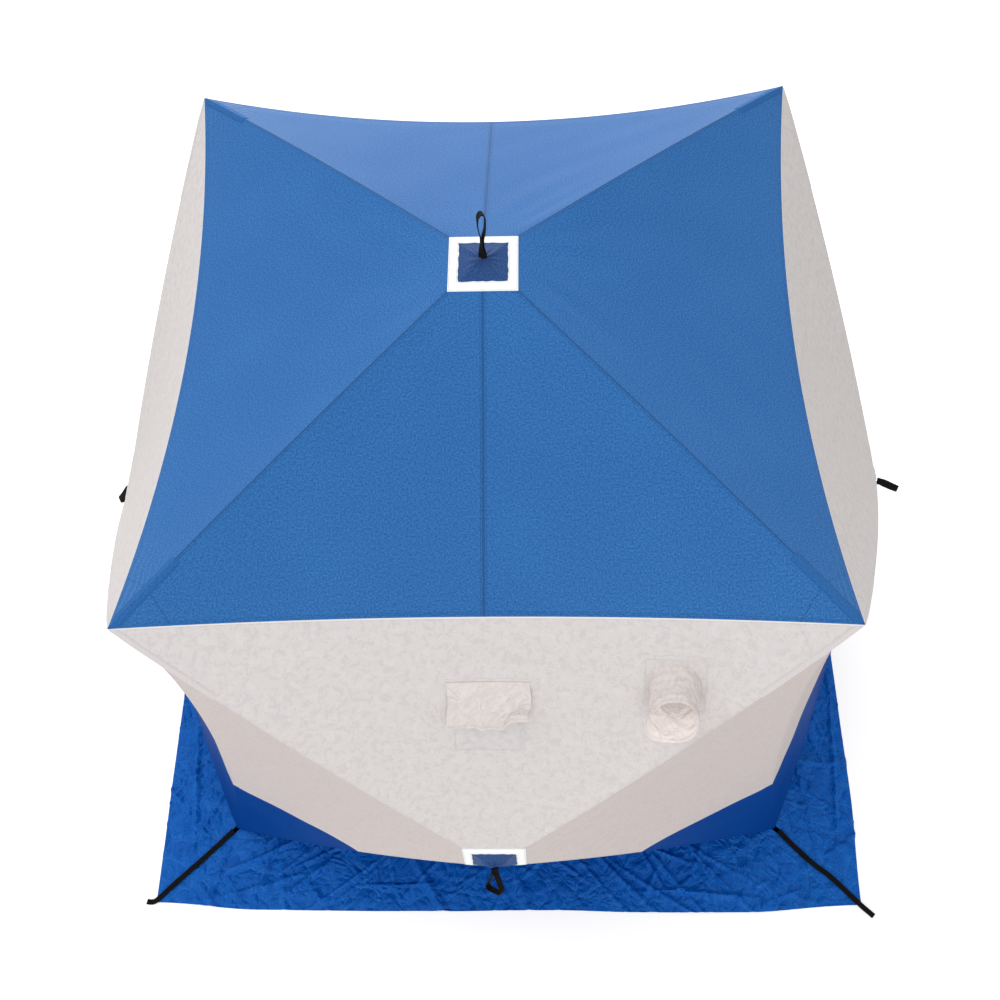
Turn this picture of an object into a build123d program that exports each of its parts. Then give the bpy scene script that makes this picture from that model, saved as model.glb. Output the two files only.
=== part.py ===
"""Pop-up cube tent for ice fishing: a hub and four sprung rods hold each face of stretched cloth.

Lengths are in millimetres. The origin is the middle of the footprint on the ground, +Z is up and the
front wall, which carries the vents, faces -Y. Each face is drawn on a plane of its own: x runs along
the face, y runs up it (towards the back on the roof) and z points out of the tent.
"""

import os

from math import cos, hypot, radians, sin, sqrt

from build123d import *

# Footprint, corners and hubs
base_side = 1800.0
roof_side = 1690.0
corner_height = 1572.0
peak_height = 1822.0
hub_reach = 1185.0
hub_height = 745.0
rod_bow = 15.0

# Cloth: stretched edges are drawn towards the inside of the tent
cloth_thickness = 4.0
seam_gap = 0.4
roof_edge_draw = 53.0
roof_edge_dip = 64.0
corner_edge_draw = 58.0
base_edge_draw = 40.0
edge_end_share = 1 / 3
corner_edge_end_share = 0.18
edge_pull_share = 4 / 3

# Blue base band under the pale walls, and the snow skirt on the ground
seam_edge_height = 330.0
seam_middle_height = 395.0
skirt_width = 238.0
skirt_thickness = 3.0

# Hub patch with its reflective frame
patch_side = 168.0
tape_width = 24.0
tape_thickness = 1.2

# Rods, sockets and hubs
rod_diameter = 9.0
rod_start = 52.0
rod_end_clear = 34.0
rod_fit = 0.2
socket_diameter = 14.0
socket_length = 62.0
socket_floor = 6.0
rod_depth_share = 1.2
hub_radius = 40.0
hub_depth = 36.0
pin_back = 24.0
pin_diameter = 5.0
tongue_width = 6.0
tongue_height = 12.0
pin_length = 16.0
slot_depth = 10.0
slot_play = 0.8

# Webbing: pull loops on the hubs and anchor straps over the skirt corners
webbing_width = 20.0
webbing_thickness = 2.5
loop_foot_diameter = 16.0
loop_round = 9.0
wall_loop_stem = 14.0
wall_loop_length = 84.0
wall_loop_width = 54.0
wall_loop_droop = 45.0
roof_loop_stem = 62.0
roof_loop_length = 74.0
roof_loop_width = 25.0
roof_loop_lean = 15.0
strap_start_gap = 6.0
strap_tail = 58.0
strap_drop_run = 12.0

# Vents in the upper panel of the front wall
window_side_share = 0.503
window_rise_share = 0.60
window_width = 176.0
window_height = 208.0
window_thickness = 1.6
flap_width = 200.0
flap_length = 140.0
flap_thickness = 2.0
flap_lift = 6.0
flap_hem = 14.0
sleeve_side_share = 0.835
sleeve_rise_share = 0.76
sleeve_diameter = 118.0
sleeve_wall = 2.0
sleeve_reach = 100.0
sleeve_lean = 14.0
sleeve_rise = 14.0
sleeve_patch_side = 156.0

# Zipped door in the back wall
door_margin = 90.0
door_corner_round = 90.0

diagonal_share = sqrt(2)
roof_half = roof_side / 2
base_half = base_side / 2
patch_half = patch_side / 2
rod_depth = socket_diameter / 2 * rod_depth_share
web_half = webbing_width / 2

wall_turns = {"front": 0, "right": 90, "back": 180, "left": 270}
wall_hub = Vector(0, hub_height, hub_reach)
roof_hub_point = Vector(0, 0, peak_height)
wall_corners = {
    "upper_left": Vector(-roof_half, corner_height, roof_half + seam_gap),
    "upper_right": Vector(roof_half, corner_height, roof_half + seam_gap),
    "lower_right": Vector(base_half, skirt_thickness, base_half + seam_gap),
    "lower_left": Vector(-base_half, skirt_thickness, base_half + seam_gap),
}
roof_corners = [
    Vector(across * roof_half, along * roof_half, corner_height + seam_gap)
    for across, along in ((-1, -1), (1, -1), (1, 1), (-1, 1))
]

# Edge of each wall panel: its two corners, how far the edge is drawn, and how soon it is drawn
wall_edges = {
    "upper": (
        "upper_left",
        "upper_right",
        Vector(0, -roof_edge_dip, -roof_edge_draw),
        edge_end_share,
    ),
    "right": (
        "upper_right",
        "lower_right",
        Vector(-corner_edge_draw, 0, -corner_edge_draw),
        corner_edge_end_share,
    ),
    "lower": ("lower_right", "lower_left", Vector(0, 0, -base_edge_draw), edge_end_share),
    "left": (
        "lower_left",
        "upper_left",
        Vector(corner_edge_draw, 0, -corner_edge_draw),
        corner_edge_end_share,
    ),
}


def wall_plane(turn):
    """Plane of a wall through the tent's middle, facing out"""
    return Plane.XZ.rotated((0, 0, turn))


def roof_plane(turn):
    """Plane of the roof at the ground, turned to one of its four panels"""
    return Plane.XY.rotated((0, 0, turn))


def blend(start, end, share):
    """Point a share of the way from start to end"""
    return start + (end - start) * share


def ridge_point(hub, corner, share):
    """Point on the bowed ridge from a hub to a corner"""
    return blend(hub, corner, share) + Vector(0, 0, 4 * rod_bow * share * (1 - share))


def patch_share(corner):
    """Share of a ridge that lies under the hub patch"""
    return patch_half / abs(corner.X)


def ridge_controls(hub, corner):
    """Control points of a ridge from the edge of the hub patch to the corner"""
    pulled = blend(hub, corner, 1 / 2) + Vector(0, 0, 2 * rod_bow)
    share = patch_share(corner)
    return ridge_point(hub, corner, share), blend(pulled, corner, share), corner


def edge_controls(first, second, drawn, end_share):
    """Control points of a stretched edge between two corners"""
    pull = drawn * edge_pull_share
    return [
        first,
        blend(first, second, end_share) + pull,
        blend(second, first, end_share) + pull,
        second,
    ]


def panel_face(plane, hub, first, second, drawn, end_share):
    """Inner face of a cloth panel between two ridges, from the hub patch out to the tent's edge"""
    aside = (second - first).normalized() * seam_gap
    ridge_a = [point + aside for point in ridge_controls(hub, first)]
    ridge_b = [point - aside for point in ridge_controls(hub, second)]
    edge_row = edge_controls(ridge_a[2], ridge_b[2], drawn, end_share)
    hub_row = [blend(ridge_a[0], ridge_b[0], step / 3) for step in range(4)]
    middle_row = [blend(near, far, 1 / 2) for near, far in zip(hub_row, edge_row)]
    middle_row[0] = ridge_a[1]
    middle_row[3] = ridge_b[1]
    rows = [[plane.from_local_coords(point) for point in row] for row in (hub_row, middle_row, edge_row)]
    return Face.make_bezier_surface(rows)


def cloth_panel(plane, hub, first, second, drawn, end_share):
    """Cloth panel thickened outwards from its inner face"""
    with BuildPart() as cloth:
        extrude(
            panel_face(plane, hub, first, second, drawn, end_share),
            amount=cloth_thickness,
            dir=plane.z_dir,
        )
    return cloth.part


def wall_panel(turn, edge):
    """One of the four cloth panels of a wall"""
    first, second, drawn, end_share = wall_edges[edge]
    ends = wall_corners[first], wall_corners[second]
    return cloth_panel(wall_plane(turn), wall_hub, *ends, drawn, end_share)


def seam_plane(turn, edge):
    """Plane of the seam between pale wall and blue band, its upper side facing up"""
    plane = wall_plane(turn)
    if edge == "lower":
        return Plane(plane.from_local_coords(Vector(0, seam_middle_height, 0)), z_dir=Vector(0, 0, 1))
    side = 1 if edge == "right" else -1
    ridge_share = 1 - seam_middle_height / hub_height
    inner = Vector(side * base_half * ridge_share, seam_middle_height, 0)
    outer = Vector(side * (base_half - corner_edge_draw), seam_edge_height, 0)
    along = plane.from_local_coords(outer) - plane.from_local_coords(inner)
    return Plane(plane.from_local_coords(inner), x_dir=along, z_dir=plane.z_dir.cross(along) * side)


def patch_points(hub, corners, share=1.0):
    """Corners of the hub patch on the four ridges, or of a smaller square inside it"""
    edge = [ridge_point(hub, corner, patch_share(corner)) for corner in corners]
    return [blend(hub, point, share) for point in edge]


def hub_patch(plane, hub, corners):
    """Low pyramid of cloth over a hub, its sides meeting the panels"""
    rim = patch_points(hub, corners)
    lift = plane.z_dir
    with BuildPart() as patch:
        for start, end in zip(rim, rim[1:] + rim[:1]):
            outline = [plane.from_local_coords(point) for point in (hub, start, end)]
            extrude(Face(Wire.make_polygon(outline)), amount=cloth_thickness, dir=lift)
    return patch.part


def reflective_frame(plane, hub, corners):
    """Square of reflective tape sewn along the sides of a hub patch"""
    lift = Vector(0, 0, cloth_thickness)
    outer = [point + lift for point in patch_points(hub, corners)]
    inner = [point + lift for point in patch_points(hub, corners, 1 - tape_width / patch_half)]
    with BuildPart() as frame:
        for here in range(4):
            after = (here + 1) % 4
            ring = (outer[here], outer[after], inner[after], inner[here])
            outline = [plane.from_local_coords(point) for point in ring]
            extrude(Face(Wire.make_polygon(outline)), amount=tape_thickness, dir=plane.z_dir)
    return frame.part


def rod_path(plane, hub, corner):
    """Three points of a rod's axis, behind the ridge that it holds up"""
    run = hypot(corner.X - hub.X, corner.Y - hub.Y)
    inward = Vector(0, 0, -rod_depth)
    shares = (rod_start / run, 1 / 2, 1 - rod_end_clear / run)
    return [plane.from_local_coords(ridge_point(hub, corner, share) + inward) for share in shares]


def bowed_rod(plane, hub, corner):
    """Sprung rod along a ridge"""
    with BuildPart() as rod:
        with BuildLine():
            axis = ThreePointArc(*rod_path(plane, hub, corner))
        with BuildSketch(Plane(axis @ 0, z_dir=axis % 0)):
            Circle(rod_diameter / 2)
        sweep()
    return rod.part


def socket_plane(plane, hub, corner):
    """Plane across a rod at its inner end: z runs out along the rod and x lies across the hub's slot"""
    start, middle, end = rod_path(plane, hub, corner)
    along = Edge.make_three_point_arc(start, middle, end) % 0
    return Plane(start, x_dir=along.cross(plane.z_dir), z_dir=along)


def rod_socket(plane, hub, corner):
    """Socket on the inner end of a rod, with a flat tongue and an eye for the hub's pin"""
    mouth = socket_plane(plane, hub, corner)
    with BuildPart() as socket:
        with BuildSketch(mouth.offset(-socket_floor)):
            Circle(socket_diameter / 2)
        extrude(amount=socket_length)
        with BuildSketch(mouth):
            Circle(rod_diameter / 2 + rod_fit)
        extrude(amount=socket_length, mode=Mode.SUBTRACT)
        with BuildSketch(Plane(mouth.origin, x_dir=-mouth.z_dir, z_dir=mouth.x_dir)):
            with Locations(((pin_back + socket_floor) / 2, 0)):
                Rectangle(pin_back - socket_floor, tongue_height)
            with Locations((pin_back, 0)):
                Circle(tongue_height / 2)
                Circle(pin_diameter / 2 + rod_fit, mode=Mode.SUBTRACT)
        extrude(amount=tongue_width / 2, both=True)
    return socket.part


def slotted_hub(plane, hub, corners):
    """Hub with four slots, each with the pin of a socket across it"""
    rim = patch_points(hub, corners)
    steepest = max(hub.Z - point.Z for point in rim)
    nearest = min(min(abs(point.X - hub.X), abs(point.Y - hub.Y)) for point in rim)
    shoulder = hub_radius * steepest / nearest + seam_gap
    seat = Plane(plane.from_local_coords(hub), x_dir=plane.x_dir, z_dir=plane.z_dir)
    with BuildPart() as body:
        with BuildSketch(Plane(seat.origin, x_dir=seat.x_dir, z_dir=-seat.y_dir)):
            with BuildLine():
                Polyline(
                    (0, -seam_gap),
                    (hub_radius, -shoulder),
                    (hub_radius, -shoulder - hub_depth),
                    (0, -shoulder - hub_depth),
                    close=True,
                )
            make_face()
        revolve(axis=Axis(seat.origin, seat.z_dir))
        for corner in corners:
            mouth = socket_plane(plane, hub, corner)
            pin = Plane(mouth.origin - mouth.z_dir * pin_back, x_dir=mouth.z_dir, z_dir=mouth.x_dir)
            with BuildSketch(pin):
                with Locations((hub_radius / 2 - slot_depth, 0)):
                    Rectangle(hub_radius, hub_depth * 3)
            extrude(amount=tongue_width / 2 + slot_play, both=True, mode=Mode.SUBTRACT)
        for corner in corners:
            mouth = socket_plane(plane, hub, corner)
            with BuildSketch(Plane(mouth.origin - mouth.z_dir * pin_back, z_dir=mouth.x_dir)):
                Circle(pin_diameter / 2)
            extrude(amount=pin_length / 2, both=True)
    return body.part


def pull_loop(plane, hub, lean, stem, length, width):
    """Doubled webbing on a hub patch, opening into a loop for the hand; lean tips it up the face"""
    clear = web_half * abs(sin(radians(lean))) + seam_gap
    apex = plane.from_local_coords(hub) + plane.z_dir * cloth_thickness
    foot = apex + plane.z_dir * clear
    reach = plane.z_dir * cos(radians(lean)) + plane.y_dir * sin(radians(lean))
    with BuildPart() as loop:
        with BuildSketch(Plane(foot, x_dir=plane.x_dir, z_dir=plane.x_dir.cross(reach))) as outline:
            with BuildLine():
                Polyline((0, stem), (width / 2, stem + length), (-width / 2, stem + length), close=True)
            make_face()
            fillet(outline.vertices().sort_by(Axis.Y)[-2:], loop_round)
            offset(amount=-webbing_thickness, mode=Mode.SUBTRACT)
            joined = stem + webbing_thickness * length / (width / 2)
            with Locations((0, joined / 2)):
                Rectangle(webbing_thickness * 2, joined)
        extrude(amount=web_half, both=True)
        with BuildSketch(Plane(apex, z_dir=plane.z_dir)):
            Circle(loop_foot_diameter / 2)
        extrude(amount=clear * 2)
    return loop.part


def cloth_site(turn, edge, side_share, rise_share):
    """Plane on the inner face of a wall panel, facing out"""
    plane = wall_plane(turn)
    first, second, drawn, end_share = wall_edges[edge]
    face = panel_face(plane, wall_hub, wall_corners[first], wall_corners[second], drawn, end_share)
    point = face.position_at(rise_share, side_share)
    outward = face.normal_at(point)
    if outward.dot(plane.z_dir) < 0:
        outward = -outward
    return Plane(point, x_dir=plane.x_dir, z_dir=outward)


def sleeve_body(site, throw, diameter, behind):
    """Slanting round body from behind the cloth to the sleeve's mouth"""
    with BuildPart() as body:
        for end in (site.origin - throw * behind, site.origin + throw):
            with BuildSketch(Plane(end, x_dir=site.x_dir, z_dir=site.z_dir)):
                Circle(diameter / 2)
        loft()
    return body.part


def door_outline(turn, clearance):
    """Door outline in a wall's right panel: the outline of its pale part, drawn in and rounded"""
    ridge_share = 1 - seam_middle_height / hub_height
    panel = [
        Vector(patch_half, hub_height),
        Vector(base_half * ridge_share, seam_middle_height),
        Vector(base_half - corner_edge_draw, seam_edge_height),
        Vector(roof_half - corner_edge_draw, corner_height),
    ]
    with BuildSketch(wall_plane(turn)) as outline:
        with BuildLine():
            Polyline(*panel, close=True)
        make_face()
        offset(amount=-door_margin - door_corner_round, kind=Kind.INTERSECTION)
        offset(amount=door_corner_round + clearance)
    return outline.sketch


def write(part, name):
    """Name a finished piece and write it"""
    part.label = name
    export_step(part, f"parts/{name}.step")


os.makedirs("parts", exist_ok=True)

# Roof: four stretched panels, patch, frame and loop over a hub with four rods
for name, turn in wall_turns.items():
    write(
        cloth_panel(
            roof_plane(turn),
            roof_hub_point,
            roof_corners[0],
            roof_corners[1],
            Vector(0, roof_edge_draw, -roof_edge_dip),
            edge_end_share,
        ),
        f"roof_{name}_panel",
    )

roof = roof_plane(0)
write(hub_patch(roof, roof_hub_point, roof_corners), "roof_hub_patch")
write(reflective_frame(roof, roof_hub_point, roof_corners), "roof_reflective_frame")
write(
    pull_loop(
        roof,
        roof_hub_point,
        roof_loop_lean,
        roof_loop_stem,
        roof_loop_length,
        roof_loop_width,
    ),
    "roof_pull_loop",
)

write(slotted_hub(roof, roof_hub_point, roof_corners), "roof_hub")

with BuildPart() as roof_rods:
    for corner in roof_corners:
        add(bowed_rod(roof, roof_hub_point, corner))
write(roof_rods.part, "roof_rods")

with BuildPart() as roof_sockets:
    for corner in roof_corners:
        add(rod_socket(roof, roof_hub_point, corner))
write(roof_sockets.part, "roof_rod_sockets")

# Walls: pale panels over a blue band, split at the seam
for name, turn in wall_turns.items():
    panels = {edge: wall_panel(turn, edge) for edge in wall_edges}
    with BuildPart() as band:
        for edge in ("left", "lower", "right"):
            add(split(panels[edge], bisect_by=seam_plane(turn, edge), keep=Keep.BOTTOM, mode=Mode.PRIVATE))
    write(band.part, f"{name}_base_band")
    for edge in ("left", "lower", "right"):
        with BuildPart() as pale:
            add(split(panels[edge], bisect_by=seam_plane(turn, edge), keep=Keep.TOP, mode=Mode.PRIVATE))
            if (name, edge) == ("back", "right"):
                extrude(door_outline(turn, seam_gap), amount=hub_reach, mode=Mode.SUBTRACT)
        write(pale.part, f"{name}_wall_{edge}_panel")
    if name != "front":
        write(panels["upper"], f"{name}_wall_upper_panel")

# Zipped door, filling its opening in the back wall
with BuildPart() as door:
    add(wall_panel(wall_turns["back"], "right"))
    extrude(door_outline(wall_turns["back"], 0), amount=hub_reach, mode=Mode.INTERSECT)
write(door.part, "entrance_door")

# Vent sleeve: a limp cloth tube through the upper panel of the front wall
front_turn = wall_turns["front"]
front = wall_plane(front_turn)
front_upper = wall_panel(front_turn, "upper")
sleeve_site = cloth_site(front_turn, "upper", sleeve_side_share, sleeve_rise_share)
sleeve_throw = front.z_dir * sleeve_reach + front.y_dir * sleeve_rise - front.x_dir * sleeve_lean
sleeve_bore = sleeve_diameter - sleeve_wall * 2
with BuildPart() as vent_sleeve:
    add(sleeve_body(sleeve_site, sleeve_throw, sleeve_diameter, 0))
    add(sleeve_body(sleeve_site, sleeve_throw, sleeve_bore, 0), mode=Mode.SUBTRACT)
write(vent_sleeve.part, "vent_sleeve")

# Vent window: a pane of netting in a square opening, with a flap sewn on above it
window_site = cloth_site(front_turn, "upper", window_side_share, window_rise_share)
with BuildPart() as vent_window:
    with BuildSketch(window_site.offset((cloth_thickness - window_thickness) / 2)):
        Rectangle(window_width, window_height)
    extrude(amount=window_thickness)
write(vent_window.part, "vent_window")

flap_turn = radians(flap_lift)
flap_top = Vector(0, window_height / 2 + flap_hem, cloth_thickness / 2)
flap_down = Vector(0, -flap_length * cos(flap_turn), flap_length * sin(flap_turn))
with BuildPart() as vent_flap:
    hinge = window_site.from_local_coords(flap_top)
    fall = hinge - window_site.from_local_coords(flap_top + flap_down)
    with BuildSketch(Plane(hinge, x_dir=window_site.x_dir, z_dir=window_site.x_dir.cross(fall))):
        with Locations((0, -flap_length / 2)):
            Rectangle(flap_width, flap_length)
    extrude(amount=flap_thickness)
    add(front_upper, mode=Mode.SUBTRACT)
write(vent_flap.part, "vent_flap")

# Square of cloth that holds the sleeve, sewn into the upper panel
behind = cloth_thickness / sleeve_reach
sleeve_hole = sleeve_body(sleeve_site, sleeve_throw, sleeve_diameter + seam_gap * 2, behind)
with BuildPart() as sleeve_patch:
    add(front_upper)
    with BuildSketch(sleeve_site):
        Rectangle(sleeve_patch_side, sleeve_patch_side)
    extrude(amount=sleeve_reach, both=True, mode=Mode.INTERSECT)
    add(sleeve_hole, mode=Mode.SUBTRACT)
write(sleeve_patch.part, "vent_sleeve_patch")

with BuildPart() as front_wall_upper:
    add(front_upper)
    with BuildSketch(sleeve_site):
        Rectangle(sleeve_patch_side + seam_gap * 2, sleeve_patch_side + seam_gap * 2)
    extrude(amount=sleeve_reach, both=True, mode=Mode.SUBTRACT)
    with BuildSketch(window_site):
        Rectangle(window_width + seam_gap * 2, window_height + seam_gap * 2)
    extrude(amount=cloth_thickness * 2, both=True, mode=Mode.SUBTRACT)
write(front_wall_upper.part, "front_wall_upper_panel")

# Wall hubs, rods and sockets, patches, frames and loops
with BuildPart() as wall_hubs:
    for turn in wall_turns.values():
        add(slotted_hub(wall_plane(turn), wall_hub, list(wall_corners.values())))
write(wall_hubs.part, "wall_hubs")

for name, turn in wall_turns.items():
    with BuildPart() as wall_rods:
        for corner in wall_corners.values():
            add(bowed_rod(wall_plane(turn), wall_hub, corner))
    write(wall_rods.part, f"{name}_wall_rods")

with BuildPart() as wall_sockets:
    for turn in wall_turns.values():
        for corner in wall_corners.values():
            add(rod_socket(wall_plane(turn), wall_hub, corner))
write(wall_sockets.part, "wall_rod_sockets")

with BuildPart() as wall_patches:
    for turn in wall_turns.values():
        add(hub_patch(wall_plane(turn), wall_hub, list(wall_corners.values())))
write(wall_patches.part, "wall_hub_patches")

with BuildPart() as wall_frames:
    for turn in wall_turns.values():
        add(reflective_frame(wall_plane(turn), wall_hub, list(wall_corners.values())))
write(wall_frames.part, "wall_reflective_frames")

with BuildPart() as wall_loops:
    for turn in wall_turns.values():
        add(
            pull_loop(
                wall_plane(turn),
                wall_hub,
                -wall_loop_droop,
                wall_loop_stem,
                wall_loop_length,
                wall_loop_width,
            )
        )
write(wall_loops.part, "wall_pull_loops")

# Snow skirt: a flat strip on the ground along each wall, mitred at the corners
skirt_half = base_half + skirt_width
base_edge = edge_controls(
    Vector(base_half, -base_half),
    Vector(-base_half, -base_half),
    Vector(0, base_edge_draw),
    edge_end_share,
)
for name, turn in wall_turns.items():
    with BuildPart() as skirt:
        with BuildSketch(roof_plane(turn)):
            with BuildLine():
                Bezier(*base_edge)
                Polyline(
                    (-base_half, -base_half),
                    (-skirt_half, -skirt_half),
                    (skirt_half, -skirt_half),
                    (base_half, -base_half),
                )
            make_face()
        extrude(amount=skirt_thickness)
    write(skirt.part, f"{name}_snow_skirt")

# Anchor straps: webbing over the mitres of the skirt, each tail lying on the ground
strap_start = (base_half + cloth_thickness + seam_gap + strap_start_gap) * diagonal_share
strap_edge = skirt_half * diagonal_share
with BuildPart() as corner_straps:
    for turn in wall_turns.values():
        diagonal = Plane.XZ.rotated((0, 0, turn + 45))
        with BuildSketch(Plane(diagonal.origin, x_dir=diagonal.z_dir, z_dir=-diagonal.x_dir)):
            with BuildLine():
                Polyline(
                    (strap_start, skirt_thickness),
                    (strap_edge, skirt_thickness),
                    (strap_edge + strap_drop_run, 0),
                    (strap_edge + strap_tail, 0),
                    (strap_edge + strap_tail, webbing_thickness),
                    (strap_edge + strap_drop_run, webbing_thickness),
                    (strap_edge, skirt_thickness + webbing_thickness),
                    (strap_start, skirt_thickness + webbing_thickness),
                    close=True,
                )
            make_face()
        extrude(amount=web_half, both=True)
write(corner_straps.part, "corner_straps")
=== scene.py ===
import math
from functools import reduce

import bmesh
import bpy
import numpy as np
from mathutils import Matrix, Vector


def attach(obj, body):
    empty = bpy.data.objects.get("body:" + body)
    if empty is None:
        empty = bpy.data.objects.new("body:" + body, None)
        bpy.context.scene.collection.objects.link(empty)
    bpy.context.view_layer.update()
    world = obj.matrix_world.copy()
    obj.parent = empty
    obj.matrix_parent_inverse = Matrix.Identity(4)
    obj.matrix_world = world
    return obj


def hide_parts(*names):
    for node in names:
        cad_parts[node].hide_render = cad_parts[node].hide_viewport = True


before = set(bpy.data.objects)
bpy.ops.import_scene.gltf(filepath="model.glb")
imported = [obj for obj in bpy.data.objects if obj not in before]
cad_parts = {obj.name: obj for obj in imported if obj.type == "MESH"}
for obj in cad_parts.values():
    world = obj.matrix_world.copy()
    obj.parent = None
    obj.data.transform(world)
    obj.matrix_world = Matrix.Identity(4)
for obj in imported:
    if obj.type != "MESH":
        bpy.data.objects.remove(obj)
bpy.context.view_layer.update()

bpy.context.scene.view_settings.view_transform = "Standard"
bpy.ops.object.select_all(action="DESELECT")

# Roof: four triangles of blue coated cloth in a fine plain weave, sewn to each other along the rods.
# The hub pushes the middle up and pockets at the corners pull the cloth tight, so its edges draw in.
roof_half = 0.845
corner_height = 1.572
peak_height = 1.822
roof_edge_draw = 0.053
roof_edge_dip = 0.064
rod_bow = 0.015
patch_half = 0.084
cloth_lift = 0.002
cloth_thickness = 0.0012
face_turns = {"front": 0, "right": 90, "back": 180, "left": 270}
roof_blue = (0.046, 0.196, 0.515, 1.0)
roof_blue_dark = (0.014, 0.108, 0.345, 1.0)
thread_blue = (0.014, 0.070, 0.215, 1.0)
thread_pitch = 0.0011
weave_depth = 0.00012
stitch_length = 0.0042
seam_row = 0.006
corner_patch_reach = 0.125
out_axis = np.array((0.0, 0.0, 1.0))


def at_patch(hub, corner):
    """Place where a rod's ridge leaves the hub patch, and its share of the way to the corner"""
    share = patch_half / abs(corner[0])
    return hub + (corner - hub) * share + np.array((0, 0, 4 * rod_bow * share * (1 - share))), share


def stretched_net(hub, first, second, drawn, end_share):
    """Control points of a cloth triangle between two rods: at the hub patch, half way, and at its edge"""
    hub, first, second, drawn = (np.array(point, float) for point in (hub, first, second, drawn))
    ridges = []
    for corner in (first, second):
        start, share = at_patch(hub, corner)
        pulled = (hub + corner) / 2 + np.array((0, 0, 2 * rod_bow))
        ridges.append((start, pulled + (corner - pulled) * share))
    pull = drawn * 4 / 3
    edge = [first, first + (second - first) * end_share + pull, second + (first - second) * end_share + pull, second]
    near = [ridges[0][0] + (ridges[1][0] - ridges[0][0]) * step / 3 for step in range(4)]
    middle = [(a + b) / 2 for a, b in zip(near, edge)]
    middle[0], middle[3] = ridges[0][1], ridges[1][1]
    return np.array((near, middle, edge))


def cubic(along):
    """Shares of the four control points along a drawn-in edge"""
    return np.stack(((1 - along) ** 3, 3 * along * (1 - along) ** 2, 3 * along**2 * (1 - along), along**3), -1)


def on_net(net, out, along):
    """Points of the stretched cloth, a share out from the hub and a share along from rod to rod"""
    out, along = np.broadcast_arrays(out, along)
    rows = np.stack(((1 - out) ** 2, 2 * out * (1 - out), out**2), -1)
    return np.einsum("...r,...c,rcx->...x", rows, cubic(along), net)


def eased(value, low, high):
    """0 below low, 1 above high, with a soft step between"""
    share = np.clip((value - low) / (high - low), 0, 1)
    return share * share * (3 - 2 * share)


def cloth_rise(out):
    """Height of the cloth above its net, nothing at the sewn edge"""
    return cloth_lift * (1 - eased(out, 0.93, 1.0))


def unit(vectors):
    """Vectors brought to a length of 1"""
    return vectors / np.linalg.norm(vectors, axis=-1, keepdims=True)


def turned(points, turn):
    """Points turned about the tent's upright axis"""
    c, s = math.cos(math.radians(turn)), math.sin(math.radians(turn))
    return points @ np.array(((c, s, 0), (-s, c, 0), (0, 0, 1)))


def run_length(points, axis):
    """Length along the rows or columns of a grid of points, from its first line"""
    steps = np.linalg.norm(np.diff(points, axis=axis), axis=-1)
    return np.insert(np.cumsum(steps, axis), 0, 0, axis)


def sewing_maps(points):
    """Cloth coordinates in metres: flat cut, run and gap along the nearest rod seam, run and rest to the edge"""
    across = run_length(points, 1)
    outward = run_length(points, 0)
    rest = outward[-1:] - outward
    gaps, runs = [], []
    for rod, beside, away in ((0, 1, across), (-1, -2, across[:, -1:] - across)):
        row = unit(points[:, beside] - points[:, rod])
        cosine = np.sum(row * unit(np.gradient(points[:, rod], axis=0)), -1)[:, None]
        gaps.append(away * np.sqrt(1 - cosine**2))
        runs.append(rest[:, [rod]] - away * cosine)
    edge = across[-1]
    return {
        "flat": points[..., :2].copy(),
        "seam": np.stack((np.where(gaps[0] < gaps[1], *runs), np.minimum(*gaps)), -1),
        "edge": np.stack((np.broadcast_to(np.minimum(edge, edge[-1] - edge), across.shape), rest), -1),
    }


def cloth_sheet(name, points, maps, outward):
    """A sheet of cloth from a grid of points, its faces turned outward, with its cloth coordinates as UV maps"""
    rows, columns = points.shape[:2]
    index = np.arange(rows * columns).reshape(rows, columns)
    faces = np.stack((index[:-1, :-1], index[:-1, 1:], index[1:, 1:], index[1:, :-1]), -1).reshape(-1, 4)
    corners = points.reshape(-1, 3)
    middle = faces[len(faces) // 2 + columns // 2]
    normal = np.cross(corners[middle[1]] - corners[middle[0]], corners[middle[3]] - corners[middle[0]])
    if np.dot(normal, outward) < 0:
        faces = faces[:, ::-1]
    mesh = bpy.data.meshes.new(name)
    mesh.from_pydata(corners.tolist(), [], faces.tolist())
    picked = np.zeros(len(mesh.loops), int)
    mesh.loops.foreach_get("vertex_index", picked)
    for title, values in maps.items():
        layer = mesh.uv_layers.new(name=title)
        layer.uv.foreach_set("vector", values.reshape(-1, 2)[picked].astype(np.float32).ravel())
    mesh.shade_smooth()
    sheet = bpy.data.objects.new(name, mesh)
    bpy.context.collection.objects.link(sheet)
    return sheet


def pick(piece):
    """Make a piece the active one and the only one selected"""
    bpy.ops.object.select_all(action="DESELECT")
    bpy.context.view_layer.objects.active = piece
    piece.select_set(True)


def finish_with(piece, kind, **settings):
    """Add a modifier to a piece and apply it; cut edges stay crisp"""
    pick(piece)
    modifier = piece.modifiers.new(kind.lower(), kind)
    for key, value in settings.items():
        setattr(modifier, key, value)
    bpy.ops.object.modifier_apply(modifier=modifier.name)
    bpy.ops.object.shade_smooth_by_angle(angle=math.radians(55))
    piece.select_set(False)


def give_thickness(piece, thickness, finish=None):
    """Thicken a sheet towards its inner side and give it its finish"""
    finish_with(piece, "SOLIDIFY", thickness=thickness, offset=-1.0, use_even_offset=False)
    if finish:
        piece.data.materials.append(finish)


def fit_cloth(piece, slot, replaced=None, **cut):
    """Fix a piece to the tent, for the part that it replaces; cut is not used"""
    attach(piece, "root")
    if replaced:
        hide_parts(replaced)


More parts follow.
